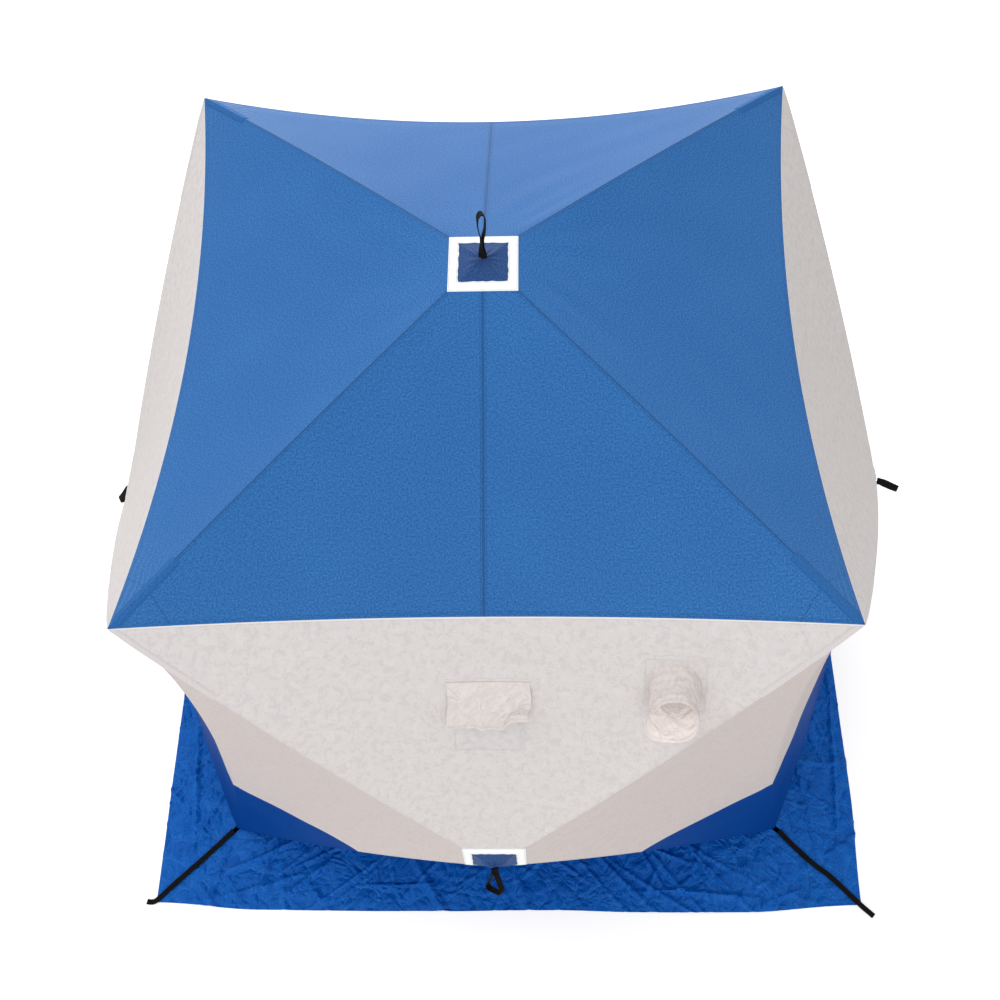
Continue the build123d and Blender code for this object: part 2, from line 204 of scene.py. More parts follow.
def node(tree, kind, inputs=None, **settings):
    """A shader node with its settings and inputs; an input is a value or another node's socket"""
    made = tree.nodes.new(kind)
    for key, value in settings.items():
        setattr(made, key, value)
    for key, value in (inputs or {}).items():
        if isinstance(value, bpy.types.NodeSocket):
            tree.links.new(value, made.inputs[key])
        else:
            made.inputs[key].default_value = value
    return made


def calc(tree, operation, first, second=0.0, third=0.0):
    """Result of one Math node"""
    return node(tree, "ShaderNodeMath", {0: first, 1: second, 2: third}, operation=operation).outputs[0]


def step_between(tree, value, low, high):
    """Soft step from 0 at low to 1 at high"""
    inputs = {0: value, 1: low, 2: high, 3: 0.0, 4: 1.0}
    return node(tree, "ShaderNodeMapRange", inputs, interpolation_type="SMOOTHSTEP").outputs[0]


def distance(tree, value, middle):
    """Distance of a value from a middle"""
    return calc(tree, "ABSOLUTE", calc(tree, "SUBTRACT", value, middle))


def below(tree, value, limit, soft):
    """1 below a limit, 0 above it, over a soft width"""
    return calc(tree, "SUBTRACT", 1.0, step_between(tree, value, limit - soft, limit + soft))


def all_of(tree, *masks):
    """Product of masks"""
    return reduce(lambda first, second: calc(tree, "MULTIPLY", first, second), masks)


def most_of(tree, *masks):
    """Greatest of masks"""
    return reduce(lambda first, second: calc(tree, "MAXIMUM", first, second), masks)


def tinted(tree, share, first, second, strength=1.0, mode="MIX"):
    """Second colour over the first, by a share that may be weakened"""
    if strength != 1.0:
        share = calc(tree, "MULTIPLY", share, strength)
    inputs = {0: share, 6: first, 7: second}
    return node(tree, "ShaderNodeMix", inputs, data_type="RGBA", blend_type=mode).outputs[2]


def cloth_map(tree, title):
    """One of a sheet's UV maps"""
    return node(tree, "ShaderNodeUVMap", uv_map=title).outputs[0]


def both_ways(tree, title):
    """The two coordinates of one of a sheet's UV maps"""
    return node(tree, "ShaderNodeSeparateXYZ", {0: cloth_map(tree, title)}).outputs[:2]


def noise(tree, place, scale, detail, **more):
    """Value of a noise texture at a place"""
    return node(tree, "ShaderNodeTexNoise", {"Vector": place, "Scale": scale, "Detail": detail, **more}).outputs[0]


def effect_group(name, inputs, outputs):
    """An empty shader node group with named sockets; Place is a vector, the others are numbers"""
    tree = bpy.data.node_groups.new(name, "ShaderNodeTree")
    for in_out, titles in (("INPUT", inputs), ("OUTPUT", outputs)):
        for title in titles:
            kind = "NodeSocketVector" if title == "Place" else "NodeSocketFloat"
            tree.interface.new_socket(name=title, in_out=in_out, socket_type=kind)
    return tree, tree.nodes.new("NodeGroupInput").outputs, tree.nodes.new("NodeGroupOutput").inputs


weave, given, result = effect_group("plain weave", ("Place", "Pitch"), ("Height", "Grain"))
place = node(weave, "ShaderNodeSeparateXYZ", {0: given["Place"]}).outputs[:2]
threads = [calc(weave, "MULTIPLY", calc(weave, "DIVIDE", way, given["Pitch"]), math.pi) for way in place]
checks = all_of(weave, *(calc(weave, "SINE", way) for way in threads))
weave.links.new(calc(weave, "MULTIPLY_ADD", checks, 0.5, 0.5), result["Height"])
weave.links.new(noise(weave, given["Place"], 230.0, 3.0, Roughness=0.8), result["Grain"])

stitch, given, result = effect_group("stitch row", ("Run", "Gap", "Row"), ("Thread",))
line = below(stitch, distance(stitch, given["Gap"], given["Row"]), 0.0008, 0.0003)
turn_of_stitch = calc(stitch, "FRACT", calc(stitch, "DIVIDE", given["Run"], stitch_length))
dashes = below(stitch, distance(stitch, turn_of_stitch, 0.5), 0.35, 0.05)
stitch.links.new(calc(stitch, "MULTIPLY", line, dashes), result["Thread"])


def woven(tree, place, pitch):
    """Height and grain of the plain weave at a place"""
    return node(tree, "ShaderNodeGroup", {"Place": place, "Pitch": pitch}, node_tree=weave).outputs


def grainy(tree, cloth, dark, light, low=0.36, high=0.64):
    """Dark and light threads of a weave"""
    return tinted(tree, step_between(tree, cloth["Grain"], low, high), dark, light)


def thread_bump(cloth):
    """Layers of bump from the threads of a weave"""
    return (cloth["Height"], weave_depth), (cloth["Grain"], weave_depth)


def stitch_rows(tree, run, gap, *rows):
    """Mask of rows of stitches, each at a distance from a seam"""
    made = [node(tree, "ShaderNodeGroup", {"Run": run, "Gap": gap, "Row": row}, node_tree=stitch) for row in rows]
    return most_of(tree, *(row.outputs[0] for row in made))


def new_finish(name, roughness, **constants):
    """A material with its node tree and shader; constants go on the shader's own sockets"""
    material = bpy.data.materials.new(name)
    material.use_nodes = True
    shader = material.node_tree.nodes["Principled BSDF"]
    shader.inputs["Roughness"].default_value = roughness
    for title, value in constants.items():
        shader.inputs[title.replace("_", " ")].default_value = value
    return material, material.node_tree, shader


def dress(tree, shader, colour, *layers, **links):
    """Colour of a shader, one bump added up from pairs of height and depth in metres, and links to other sockets"""
    for title, value in {"Base_Color": colour, **links}.items():
        tree.links.new(value, shader.inputs[title.replace("_", " ")])
    total = 0.0
    for height, depth in layers:
        total = calc(tree, "MULTIPLY_ADD", height, depth, total)
    bump = node(tree, "ShaderNodeBump", {"Height": total, "Distance": 1.0, "Strength": 1.0})
    tree.links.new(bump.outputs[0], shader.inputs["Normal"])


def corner_puckers(tree, run, gap, rest, pitch, near, aside, inward):
    """Small puckers that run in from the corners beside the rods; near, aside and inward are where they fade"""
    wander = noise(tree, cloth_map(tree, "flat"), 9.0, 1.0)
    wave = calc(tree, "MULTIPLY_ADD", wander, 15.0, calc(tree, "MULTIPLY", rest, 2 * math.pi / pitch))
    fades = [step_between(tree, value, *limits) for value, limits in ((run, near), (gap, aside), (rest, inward))]
    return all_of(tree, calc(tree, "SINE", wave), calc(tree, "SUBTRACT", 1.0, fades[0]), *fades[1:])


def roof_finish(name, middle_seam):
    """Blue roof cloth; two of the triangles are cut in halves and joined by a seam down the middle"""
    material, tree, shader = new_finish(name, 0.62, Specular_IOR_Level=0.12, Sheen_Weight=0.34, Sheen_Roughness=0.30)
    flat = cloth_map(tree, "flat")
    (run, gap), (along, rest) = both_ways(tree, "seam"), both_ways(tree, "edge")
    cloth = woven(tree, flat, thread_pitch)
    broad = step_between(tree, noise(tree, flat, 3.2, 2.0), 0.35, 0.75)
    colour = grainy(tree, cloth, roof_blue_dark, roof_blue)
    colour = tinted(tree, broad, colour, (1.10, 1.07, 1.04, 1.0), mode="MULTIPLY")
    # The corner patches, and the seam along each rod
    reach = calc(tree, "MULTIPLY_ADD", gap, 0.25, run)
    patch = below(tree, reach, corner_patch_reach, 0.0008)
    patch_rim = below(tree, distance(tree, reach, corner_patch_reach), 0.0015, 0.0008)
    lines = most_of(tree, below(tree, gap, 0.0022, 0.0012), calc(tree, "MULTIPLY", patch_rim, 0.55))
    threads = most_of(tree, stitch_rows(tree, run, gap, seam_row), stitch_rows(tree, along, rest, seam_row, 0.011))
    if middle_seam:
        flat_x, flat_y = both_ways(tree, "flat")
        middle = calc(tree, "ABSOLUTE", flat_x)
        lines = most_of(tree, lines, below(tree, middle, 0.0030, 0.0010))
        threads = most_of(tree, threads, stitch_rows(tree, flat_y, middle, 0.007))
    colour = tinted(tree, lines, colour, thread_blue, 0.62)
    colour = tinted(tree, threads, colour, thread_blue, 0.6)
    puckers = corner_puckers(tree, run, gap, rest, 0.030, (0.06, 0.27), (0.012, 0.030), (0.004, 0.02))
    raised = calc(tree, "MULTIPLY_ADD", patch, 0.5, calc(tree, "MULTIPLY", lines, -0.8))
    rough = calc(tree, "MULTIPLY_ADD", cloth["Grain"], 0.16, 0.54)
    layers = ((puckers, 0.0006), (raised, 0.0009), (threads, 0.0003), *thread_bump(cloth))
    dress(tree, shader, colour, *layers, Roughness=rough)
    return material


def gentle_waves(out, along, seed):
    """Soft random swells over a stretched cloth, nothing at its borders"""
    random = np.random.default_rng(seed)
    swell = 0.0
    for _ in range(9):
        kx, ky = random.uniform(1.5, 6.0), random.uniform(1.0, 4.0)
        swell = swell + random.uniform(0.4, 1.0) * np.sin(2 * math.pi * (kx * along + ky * out + random.uniform()))
    border = np.minimum(np.minimum(along, 1 - along), np.minimum(out, 1 - out))
    return 0.0004 * swell * eased(border, 0.0, 0.18)


roof_finishes = {True: roof_finish("seamed roof cloth", True), False: roof_finish("plain roof cloth", False)}
roof_net = stretched_net(
    (0, 0, peak_height),
    (-roof_half, -roof_half, corner_height),
    (roof_half, -roof_half, corner_height),
    (0, roof_edge_draw, -roof_edge_dip),
    1 / 3,
)
out_steps = np.linspace(0, 1, 76)[:, None]
along_steps = np.linspace(0, 1, 132)[None, :]


def stretched_sheet(name, net, seed, put, turn):
    """A stretched triangle as a thin sheet; put brings its points to their place on the tent"""
    points = on_net(net, out_steps, along_steps)
    maps = sewing_maps(points)
    points[..., 2] += cloth_rise(out_steps) + gentle_waves(out_steps, along_steps, seed)
    return cloth_sheet(name, put(points, turn), maps, put(out_axis, turn))


for side, turn in face_turns.items():
    panel = stretched_sheet(f"roof_{side}_cloth", roof_net, 11 + turn, turned, turn)
    give_thickness(panel, cloth_thickness, roof_finishes[side in ("front", "back")])
    cut = {"flat": (1.69, 0.80), "held": "stretched", "rests_on": ["roof_rods"], "area": 0.74}
    fit_cloth(panel, "roof_cloth", f"roof_{side}_panel", **cut)

# Walls: off-white cloth with a faint grey winter mottle above, dark blue coated cloth below the seam.
# Each wall is four triangles sewn over its rods, and its edges draw in between the corners.
base_half = 0.900
wall_hub_height = 0.745
wall_hub_reach = 1.185
ground_gap = 0.003
corner_edge_draw = 0.058
base_edge_draw = 0.040
seam_middle = 0.395
seam_edge = 0.330
wall_white = (0.755, 0.722, 0.718, 1.0)
wall_grey = (0.675, 0.645, 0.643, 1.0)
wall_pale = (0.795, 0.765, 0.762, 1.0)
# Painted shade that darkens and warms the side and lower wall triangles, standing in for bounce light off the ground
painted_side_shade = (0.955, 0.915, 0.910, 1.0)
edge_white = (0.86, 0.84, 0.83, 1.0)
band_blue = (0.0030, 0.064, 0.320, 1.0)
band_blue_dark = (0.0015, 0.040, 0.235, 1.0)
thread_grey = (0.50, 0.47, 0.46, 1.0)


def bent_place(tree, place, scale, amount):
    """A place pushed to and fro by a noise"""
    push = node(tree, "ShaderNodeTexNoise", {"Vector": place, "Scale": scale, "Detail": 2.0}).outputs["Color"]
    return node(tree, "ShaderNodeVectorMath", {0: push, 1: amount, 2: place}, operation="MULTIPLY_ADD").outputs[0]


mottle, given, result = effect_group("winter mottle", ("Place",), ("Grey", "Pale"))
bent = bent_place(mottle, given["Place"], 30.0, (0.04, 0.04, 0.04))
away = node(mottle, "ShaderNodeVectorMath", {0: bent, 1: (3.1, 7.7, 0.0)}, operation="ADD").outputs[0]
blots, spots = noise(mottle, bent, 56.0, 4.0, Roughness=0.7), noise(mottle, away, 46.0, 4.0, Roughness=0.7)
mottle.links.new(step_between(mottle, blots, 0.48, 0.58), result["Grey"])
mottle.links.new(step_between(mottle, spots, 0.51, 0.60), result["Pale"])


def wall_finish(name, upper):
    """Off-white mottled wall cloth; the upper triangles have a bright fold along the roof's edge, the side and lower
    ones a warm painted shade
    """
    material, tree, shader = new_finish(name, 0.7, Specular_IOR_Level=0.12)
    flat = cloth_map(tree, "flat")
    (run, gap), (along, rest) = both_ways(tree, "seam"), both_ways(tree, "edge")
    cloth = woven(tree, flat, thread_pitch)
    winter = node(tree, "ShaderNodeGroup", {"Place": flat}, node_tree=mottle).outputs
    print_share, grain_limits, grain_share = (0.75, (0.25, 0.75), 0.20) if upper else (0.45, (0.36, 0.64), 0.36)
    colour = tinted(tree, winter["Grey"], wall_white, wall_grey, print_share)
    colour = tinted(tree, winter["Pale"], colour, wall_pale, print_share - 0.10)
    shade = calc(tree, "SUBTRACT", 1.0, step_between(tree, cloth["Grain"], *grain_limits))
    colour = tinted(tree, shade, colour, thread_grey, grain_share)
    lines = calc(tree, "MULTIPLY", below(tree, gap, 0.0018, 0.0010), 0.8)
    threads = most_of(tree, stitch_rows(tree, run, gap, seam_row), stitch_rows(tree, along, rest, 0.007))
    colour = tinted(tree, lines, colour, thread_grey, 0.55)
    colour = tinted(tree, threads, colour, thread_grey, 0.30)
    if upper:
        colour = tinted(tree, below(tree, rest, 0.0045, 0.0010), colour, edge_white)
    else:
        # Painted shade: the side and lower triangles are made a little darker and warmer all over
        colour = tinted(tree, 1.0, colour, painted_side_shade, mode="MULTIPLY")
    puckers = corner_puckers(tree, run, gap, rest, 0.032, (0.06, 0.30), (0.014, 0.034), (0.006, 0.02))
    rough = calc(tree, "MULTIPLY_ADD", cloth["Grain"], 0.14, 0.62)
    layers = ((puckers, 0.0004), (lines, -0.0008), (threads, 0.00015), *thread_bump(cloth))
    dress(tree, shader, colour, *layers, Roughness=rough)
    return material


def band_finish():
    """Dark blue coated cloth of the base band, smoother than the roof and with a little gloss"""
    material, tree, shader = new_finish("base band cloth", 0.5, Specular_IOR_Level=0.04)
    flat = cloth_map(tree, "flat")
    run, gap = both_ways(tree, "seam")
    cloth = woven(tree, flat, 0.0013)
    broad = noise(tree, flat, 7.0, 2.0)
    colour = grainy(tree, cloth, band_blue_dark, band_blue, 0.3, 0.7)
    patchy = step_between(tree, broad, 0.35, 0.75)
    colour = tinted(tree, patchy, colour, (1.12, 1.10, 1.06, 1.0), mode="MULTIPLY")
    threads = stitch_rows(tree, run, gap, seam_row)
    colour = tinted(tree, most_of(tree, below(tree, gap, 0.002, 0.001), threads), colour, band_blue_dark, 0.5)
    rough = calc(tree, "MULTIPLY_ADD", cloth["Grain"], 0.16, 0.42)
    dress(tree, shader, colour, (broad, 0.004), (threads, 0.0005), *thread_bump(cloth), Roughness=rough)
    return material


def on_wall(points, turn):
    """Points of a wall, across, up and out, in the tent's frame"""
    return turned(np.stack((points[..., 0], -points[..., 2], points[..., 1]), -1), turn)


def cut_by_plane(piece, origin, normal, keep_above):
    """Keep the part of a sheet on one side of a plane"""
    mesh = bmesh.new()
    mesh.from_mesh(piece.data)
    everything = [*mesh.verts, *mesh.edges, *mesh.faces]
    bmesh.ops.bisect_plane(
        mesh, geom=everything, plane_co=origin, plane_no=normal, clear_inner=keep_above, clear_outer=not keep_above
    )
    mesh.to_mesh(piece.data)
    mesh.free()


def joined(name, pieces):
    """Several meshes as one piece"""
    bpy.ops.object.select_all(action="DESELECT")
    for piece in pieces:
        piece.select_set(True)
    bpy.context.view_layer.objects.active = pieces[0]
    bpy.ops.object.join()
    pieces[0].name = name
    pieces[0].data.name = name
    pieces[0].select_set(False)
    return pieces[0]


wall_finishes = {True: wall_finish("upper wall cloth", True), False: wall_finish("wall cloth", False)}
band_material = band_finish()
wall_corners = {
    "upper_left": (-roof_half, corner_height, roof_half),
    "upper_right": (roof_half, corner_height, roof_half),
    "lower_right": (base_half, ground_gap, base_half),
    "lower_left": (-base_half, ground_gap, base_half),
}
wall_edges = {
    "upper": ("upper_left", "upper_right", (0, -roof_edge_dip, -roof_edge_draw), 1 / 3),
    "right": ("upper_right", "lower_right", (-corner_edge_draw, 0, -corner_edge_draw), 0.18),
    "lower": ("lower_right", "lower_left", (0, 0, -base_edge_draw), 1 / 3),
    "left": ("lower_left", "upper_left", (corner_edge_draw, 0, -corner_edge_draw), 0.18),
}
wall_nets = {
    edge: stretched_net(
        (0, wall_hub_height, wall_hub_reach), wall_corners[first], wall_corners[second], drawn, end_share
    )
    for edge, (first, second, drawn, end_share) in wall_edges.items()
}
wall_cuts = {
    "upper": ((1.69, 0.86), 0.76),
    "left": ((1.27, 0.86), 0.60),
    "right": ((1.27, 0.86), 0.60),
    "lower": ((0.87, 0.40), 0.16),
    ("front", "upper"): ((1.69, 0.86), 0.70),
    ("back", "right"): ((1.27, 0.86), 0.345),
}
seam_inner = base_half * (1 - seam_middle / wall_hub_height)
seam_outer = base_half - corner_edge_draw
wall_pieces = {}
wave_seeds = {}
for side, turn in face_turns.items():
    bands = []
    held = {"held": "stretched", "rests_on": [f"{side}_wall_rods"]}
    for number, edge in enumerate(wall_edges):
        seed = wave_seeds[side, edge] = 100 + turn + number
        pale = stretched_sheet(f"{side}_wall_{edge}_cloth", wall_nets[edge], seed, on_wall, turn)
        if edge != "upper":
            hand = {"left": -1, "right": 1, "lower": 0}[edge]
            slope = (hand * (seam_outer - seam_inner), seam_edge - seam_middle) if hand else (1.0, 0.0)
            origin = on_wall(np.array((hand * seam_inner, seam_middle, 0.0)), turn)
            normal = on_wall(np.array((-slope[1], slope[0], 0.0)) * (hand or 1), turn)
            band = stretched_sheet(f"{side}_band_{edge}", wall_nets[edge], seed, on_wall, turn)
            cut_by_plane(band, origin, normal, False)
            cut_by_plane(pale, origin, normal, True)
            give_thickness(band, cloth_thickness, band_material)
            bands.append(band)
        give_thickness(pale, cloth_thickness, wall_finishes[edge == "upper"])
        flat, area = wall_cuts.get((side, edge), wall_cuts[edge])
        fit_cloth(pale, "wall_cloth", f"{side}_wall_{edge}_panel", flat=flat, area=area, **held)
        wall_pieces[side, edge] = pale
    band = joined(f"{side}_band_cloth", bands)
    fit_cloth(band, "band_cloth", f"{side}_base_band", flat=(2.60, 0.46), area=0.80, **held)

# Rod pockets: strips of doubled cloth folded over the ridges at the tent's upper corners, on roof and walls.
# The rods' ends sit under them, and a row of stitches holds each strip down on both sides of its rod.
pocket_half = 0.016
pocket_start = 0.006
pocket_taper = 0.55
pocket_rise = 0.0012
pocket_thickness = 0.0016
pocket_blue = (0.036, 0.165, 0.450, 1.0)
roof_pocket_length = 0.215
wall_pocket_length = 0.300


def pocket_finish(name, dark, light, thread):
    """Cloth of the pockets, a shade darker than the panels, stitched along its sides"""
    material, tree, shader = new_finish(name, 0.64, Specular_IOR_Level=0.12)
    flat_x, flat_y = both_ways(tree, "flat")
    cloth = woven(tree, cloth_map(tree, "flat"), thread_pitch)
    threads = stitch_rows(tree, flat_y, calc(tree, "ABSOLUTE", flat_x), pocket_half - 0.003)
    colour = tinted(tree, threads, grainy(tree, cloth, dark, light), thread, 0.5)
    dress(tree, shader, colour, (threads, 0.0002), *thread_bump(cloth))
    return material


def rod_pocket(first, second, length):
    """Points and maps of a pocket over the ridge of two cloths, each given as its net and its end at the ridge"""
    shares = np.linspace(1, 0.6, 300)
    ridge = run_length(on_net(first[0], shares, float(first[1])), 0)
    runs = np.linspace(pocket_start, length, 44)
    out = np.interp(runs, ridge, shares)
    crest = on_net(first[0], out, float(first[1]))
    ahead = unit(np.gradient(crest, axis=0))
    sides = []
    for net, end in (first, second):
        away = on_net(net, out, abs(end - 1e-4)) - on_net(net, out, float(end))
        sides.append(unit(away - ahead * np.sum(away * ahead, -1, keepdims=True)))
    across = np.linspace(-1, 1, 13) * np.minimum(pocket_half, pocket_taper * runs)[:, None]
    slope = np.where(across[..., None] < 0, sides[0][:, None], sides[1][:, None])
    points = crest[:, None] + slope * np.abs(across)[..., None]
    points[..., 2] += (cloth_rise(out) + pocket_rise)[:, None]
    return points, {"flat": np.stack(np.broadcast_arrays(across, runs[:, None]), -1)}


roof_strips, wall_strips = [], []
for side, turn in face_turns.items():
    points, maps = rod_pocket((roof_net, 0), (turned(roof_net, 270), 1), roof_pocket_length)
    roof_strips.append(cloth_sheet(f"{side}_roof_pocket", turned(points, turn), maps, (0, 0, 1)))
    for edge, upper_end, edge_end in (("right", 1, 0), ("left", 0, 1)):
        points, maps = rod_pocket((wall_nets["upper"], upper_end), (wall_nets[edge], edge_end), wall_pocket_length)
        wall_strips.append(cloth_sheet(f"{side}_{edge}_pocket", on_wall(points, turn), maps, on_wall(out_axis, turn)))
for strip in roof_strips + wall_strips:
    give_thickness(strip, pocket_thickness)
roof_pockets = joined("roof_rod_pockets", roof_strips)
roof_pockets.data.materials.append(pocket_finish("roof pocket cloth", roof_blue_dark, pocket_blue, thread_blue))
fit_cloth(roof_pockets, "roof_cloth", flat=(0.032, 0.82), held="stretched", rests_on=["roof_rods"])
wall_pockets = joined("wall_rod_pockets", wall_strips)
wall_pockets.data.materials.append(pocket_finish("wall pocket cloth", wall_grey, wall_white, thread_grey))
under_strips = [f"{side}_wall_rods" for side in face_turns]
fit_cloth(wall_pockets, "wall_cloth", flat=(0.032, 2.32), held="stretched", rests_on=under_strips)

# Door: a rounded panel in the back wall, cut from the same cloth and closed by a zip on three sides.
# The fourth side, next to the tent's corner, is sewn and acts as the hinge.
door_margin = 0.090
door_round = 0.090
door_arc_steps = 12
door_gap = 0.0006
door_depth = 1.05
zip_width = 0.030
zip_thickness = 0.0012
zip_lift = 0.0012
tooth_height = 0.0016
tooth_reach = 0.0032
tooth_pitch = 0.0026
zip_black = (0.020, 0.020, 0.022, 1.0)
zip_grey = (0.075, 0.075, 0.080, 1.0)
zip_shine = (0.13, 0.13, 0.14, 1.0)


def face_outward(piece, weld=0.0):
    """Turn all faces of a piece outward, after points closer than weld are made one"""
    pick(piece)
    bpy.ops.object.mode_set(mode="EDIT")
    bpy.ops.mesh.select_all(action="SELECT")
    if weld:
        bpy.ops.mesh.remove_doubles(threshold=weld)
    bpy.ops.mesh.normals_make_consistent(inside=False)
    bpy.ops.object.mode_set(mode="OBJECT")
    piece.select_set(False)


def cutting_block(ring, direction):
    """A closed block from a ring of points, pushed both ways along a direction"""
    ring, direction = np.array(ring, float), np.array(direction, float)
    count = len(ring)
    sides = [(k, (k + 1) % count, count + (k + 1) % count, count + k) for k in range(count)]
    mesh = bpy.data.meshes.new("cutting block")
    mesh.from_pydata(
        np.concatenate((ring - direction, ring + direction)).tolist(),
        [],
        [*sides, tuple(range(count))[::-1], tuple(range(count, 2 * count))],
    )
    block = bpy.data.objects.new("cutting block", mesh)
    bpy.context.collection.objects.link(block)
    face_outward(block)
    return block


def cut_with(piece, block, operation):
    """Cut a piece with a block, which is then thrown away"""
    finish_with(piece, "BOOLEAN", object=block, operation=operation, solver="EXACT")
    bpy.data.objects.remove(block)


def copy_of(piece, name):
    """A copy of a piece with its own mesh"""
    copy = bpy.data.objects.new(name, piece.data.copy())
    copy.data.name = name
    bpy.context.collection.objects.link(copy)
    return copy


def onto_cloth(net, across, up):
    """Shares out and along at which the stretched cloth passes a place on its wall"""
    across, up = np.broadcast_arrays(np.asarray(across, float), np.asarray(up, float))
    out, along = np.full(across.shape, 0.5), np.full(across.shape, 0.5)
    small = 1e-4
    for _ in range(14):
        here = on_net(net, out, along)
        by_out = (on_net(net, out + small, along) - here) / small
        by_along = (on_net(net, out, along + small) - here) / small
        miss_x, miss_y = across - here[..., 0], up - here[..., 1]
        area = by_out[..., 0] * by_along[..., 1] - by_out[..., 1] * by_along[..., 0]
        out = np.clip(out + (miss_x * by_along[..., 1] - miss_y * by_along[..., 0]) / area, -0.1, 1.1)
        along = np.clip(along + (by_out[..., 0] * miss_y - by_out[..., 1] * miss_x) / area, -0.1, 1.1)
    return out, along


def laid_on(side, edge, across, up, rise):
    """Points on the outer face of a wall's cloth, lifted a little, at places on that wall"""
    out, along = onto_cloth(wall_nets[edge], across, up)
    points = on_net(wall_nets[edge], out, along)
    points[..., 2] += cloth_rise(out) + gentle_waves(out, along, wave_seeds[side, edge]) + rise
    return points


def rounded_inset(corners, margin, radius, arc_steps):
    """An outline drawn in by a margin, with round corners"""
    corners = np.array(corners, float)
    edges = unit(np.roll(corners, -1, 0) - corners)
    inward = np.stack((-edges[:, 1], edges[:, 0]), -1)
    moved = corners + inward * (margin + radius)
    outline = []
    for k in range(len(corners)):
        a, d, b, e = moved[k - 1], edges[k - 1], moved[k], edges[k]
        share = np.linalg.solve(np.stack((d, -e), -1), b - a)[0]
        centre = a + d * share
        start = math.atan2(-inward[k - 1][1], -inward[k - 1][0])
        sweep = (math.atan2(-inward[k][1], -inward[k][0]) - start) % (2 * math.pi)
        for step in range(arc_steps + 1):
            angle = start + sweep * step / arc_steps
            outline.append(centre + radius * np.array((math.cos(angle), math.sin(angle))))
    return np.array(outline)


door_panel = wall_pieces["back", "right"]
back_turn = face_turns["back"]
pale_outline = [
    (patch_half, wall_hub_height),
    (seam_inner, seam_middle),
    (seam_outer, seam_edge),
    (roof_half - corner_edge_draw, corner_height),
]
door_ring = rounded_inset(pale_outline, door_margin, door_round, door_arc_steps)
wider_ring = rounded_inset(pale_outline, door_margin - door_gap, door_round, door_arc_steps)
straight_out = on_wall(0.25 * out_axis, back_turn)
door = copy_of(door_panel, "entrance_door_cloth")
for piece, ring, operation in ((door, door_ring, "INTERSECT"), (door_panel, wider_ring, "DIFFERENCE")):
    cut_with(piece, cutting_block(on_wall(np.insert(ring, 2, door_depth, 1), back_turn), straight_out), operation)
fit_cloth(door, "wall_cloth", "entrance_door")

# The zip starts and ends half way round the two corners beside the hinge
zip_line = np.roll(door_ring, -3 * (door_arc_steps + 1), 0)[7:-7]
steps = np.linspace(0, len(zip_line) - 1, 260)
zip_line = np.stack([np.interp(steps, np.arange(len(zip_line)), zip_line[:, k]) for k in (0, 1)], -1)
heading = unit(np.gradient(zip_line, axis=0))
beside = np.stack((-heading[:, 1], heading[:, 0]), -1)
across_zip = np.linspace(-0.5, 0.5, 9)
spread = zip_line[:, None] + beside[:, None] * across_zip[None, :, None] * zip_width
zip_rise = zip_lift + tooth_height * (np.abs(across_zip) < 0.15)
zip_points = laid_on("back", "right", spread[..., 0], spread[..., 1], zip_rise)
zip_run = run_length(zip_points, 0)
zip_maps = {"flat": np.stack((np.broadcast_to(across_zip * zip_width, zip_run.shape), zip_run), -1)}
door_zip = cloth_sheet("door_zip", on_wall(zip_points, back_turn), zip_maps, straight_out)


def ripple(tree, value, pitch):
    """A wave along a value"""
    return calc(tree, "SINE", calc(tree, "MULTIPLY", value, 2 * math.pi / pitch))


zip_paint, tree, shader = new_finish("zip tape", 0.55, Specular_IOR_Level=0.3)
flat_x, flat_y = both_ways(tree, "flat")
aside = calc(tree, "ABSOLUTE", flat_x)
tooth_gaps = step_between(tree, ripple(tree, flat_y, tooth_pitch), -0.2, 0.4)
teeth = all_of(tree, below(tree, aside, tooth_reach, 0.0006), tooth_gaps)
tape_weave = woven(tree, cloth_map(tree, "flat"), 0.0009)
zip_rows = stitch_rows(tree, flat_y, aside, 0.0115, 0.0075)
colour = grainy(tree, tape_weave, zip_black, zip_grey, 0.3, 0.7)
colour = tinted(tree, most_of(tree, teeth, zip_rows), colour, zip_shine, 0.6)
dress(tree, shader, colour, (teeth, 0.0008), (zip_rows, 0.0004), (tape_weave["Height"], 0.0001))
give_thickness(door_zip, zip_thickness, zip_paint)
fit_cloth(door_zip, "webbing")

# Vent window: a pane of pale netting let into the front wall's upper cloth, in a sewn hem, and a flap of
# soft lining cloth sewn on above it. The flap hangs loose and its right lower corner has curled up.
window_width = 0.176
window_height = 0.208
window_place = (0.60, 0.503)
net_thickness = 0.0008
hem_width = 0.024
hem_lap = 0.004
hem_thickness = 0.0010
flap_width = 0.200
flap_length = 0.140
flap_hem = 0.014
flap_thickness = 0.0012
flap_clearance = 0.0024
flap_lift = math.radians(6)
net_white = (0.790, 0.760, 0.762, 1.0)
net_grey = (0.560, 0.535, 0.540, 1.0)
lining_white = (0.800, 0.742, 0.722, 1.0)
lining_shade = (0.690, 0.620, 0.598, 1.0)
front_net = wall_nets["upper"]
front_upper = wall_pieces["front", "upper"]
on_front_cloth = {"held": "stretched", "rests_on": ["front_wall_upper_panel"]}


def cloth_site(net, out, along):
    """Origin and axes of a place on the front wall's cloth: along, up and out of it"""
    small = 1e-4
    here = on_net(net, out, along)
    normal = unit(np.cross(on_net(net, out, along + small) - here, on_net(net, out - small, along) - here))
    if normal[2] < 0:
        normal = -normal
    origin, outward = on_wall(here, 0), on_wall(normal, 0)
    level = unit(np.array((1.0, 0.0, 0.0)) - outward * outward[0])
    return origin, np.stack((level, np.cross(outward, level), outward))


def at_site(site, points):
    """Points given along, up and out of a place on the cloth"""
    return site[0] + np.asarray(points, float) @ site[1]


def on_front(site, points, rise):
    """Points lifted off the front wall's upper cloth, at places given along and up from a site"""
    places = at_site(site, points)
    return on_wall(laid_on("front", "upper", places[..., 0], places[..., 2], rise), 0)


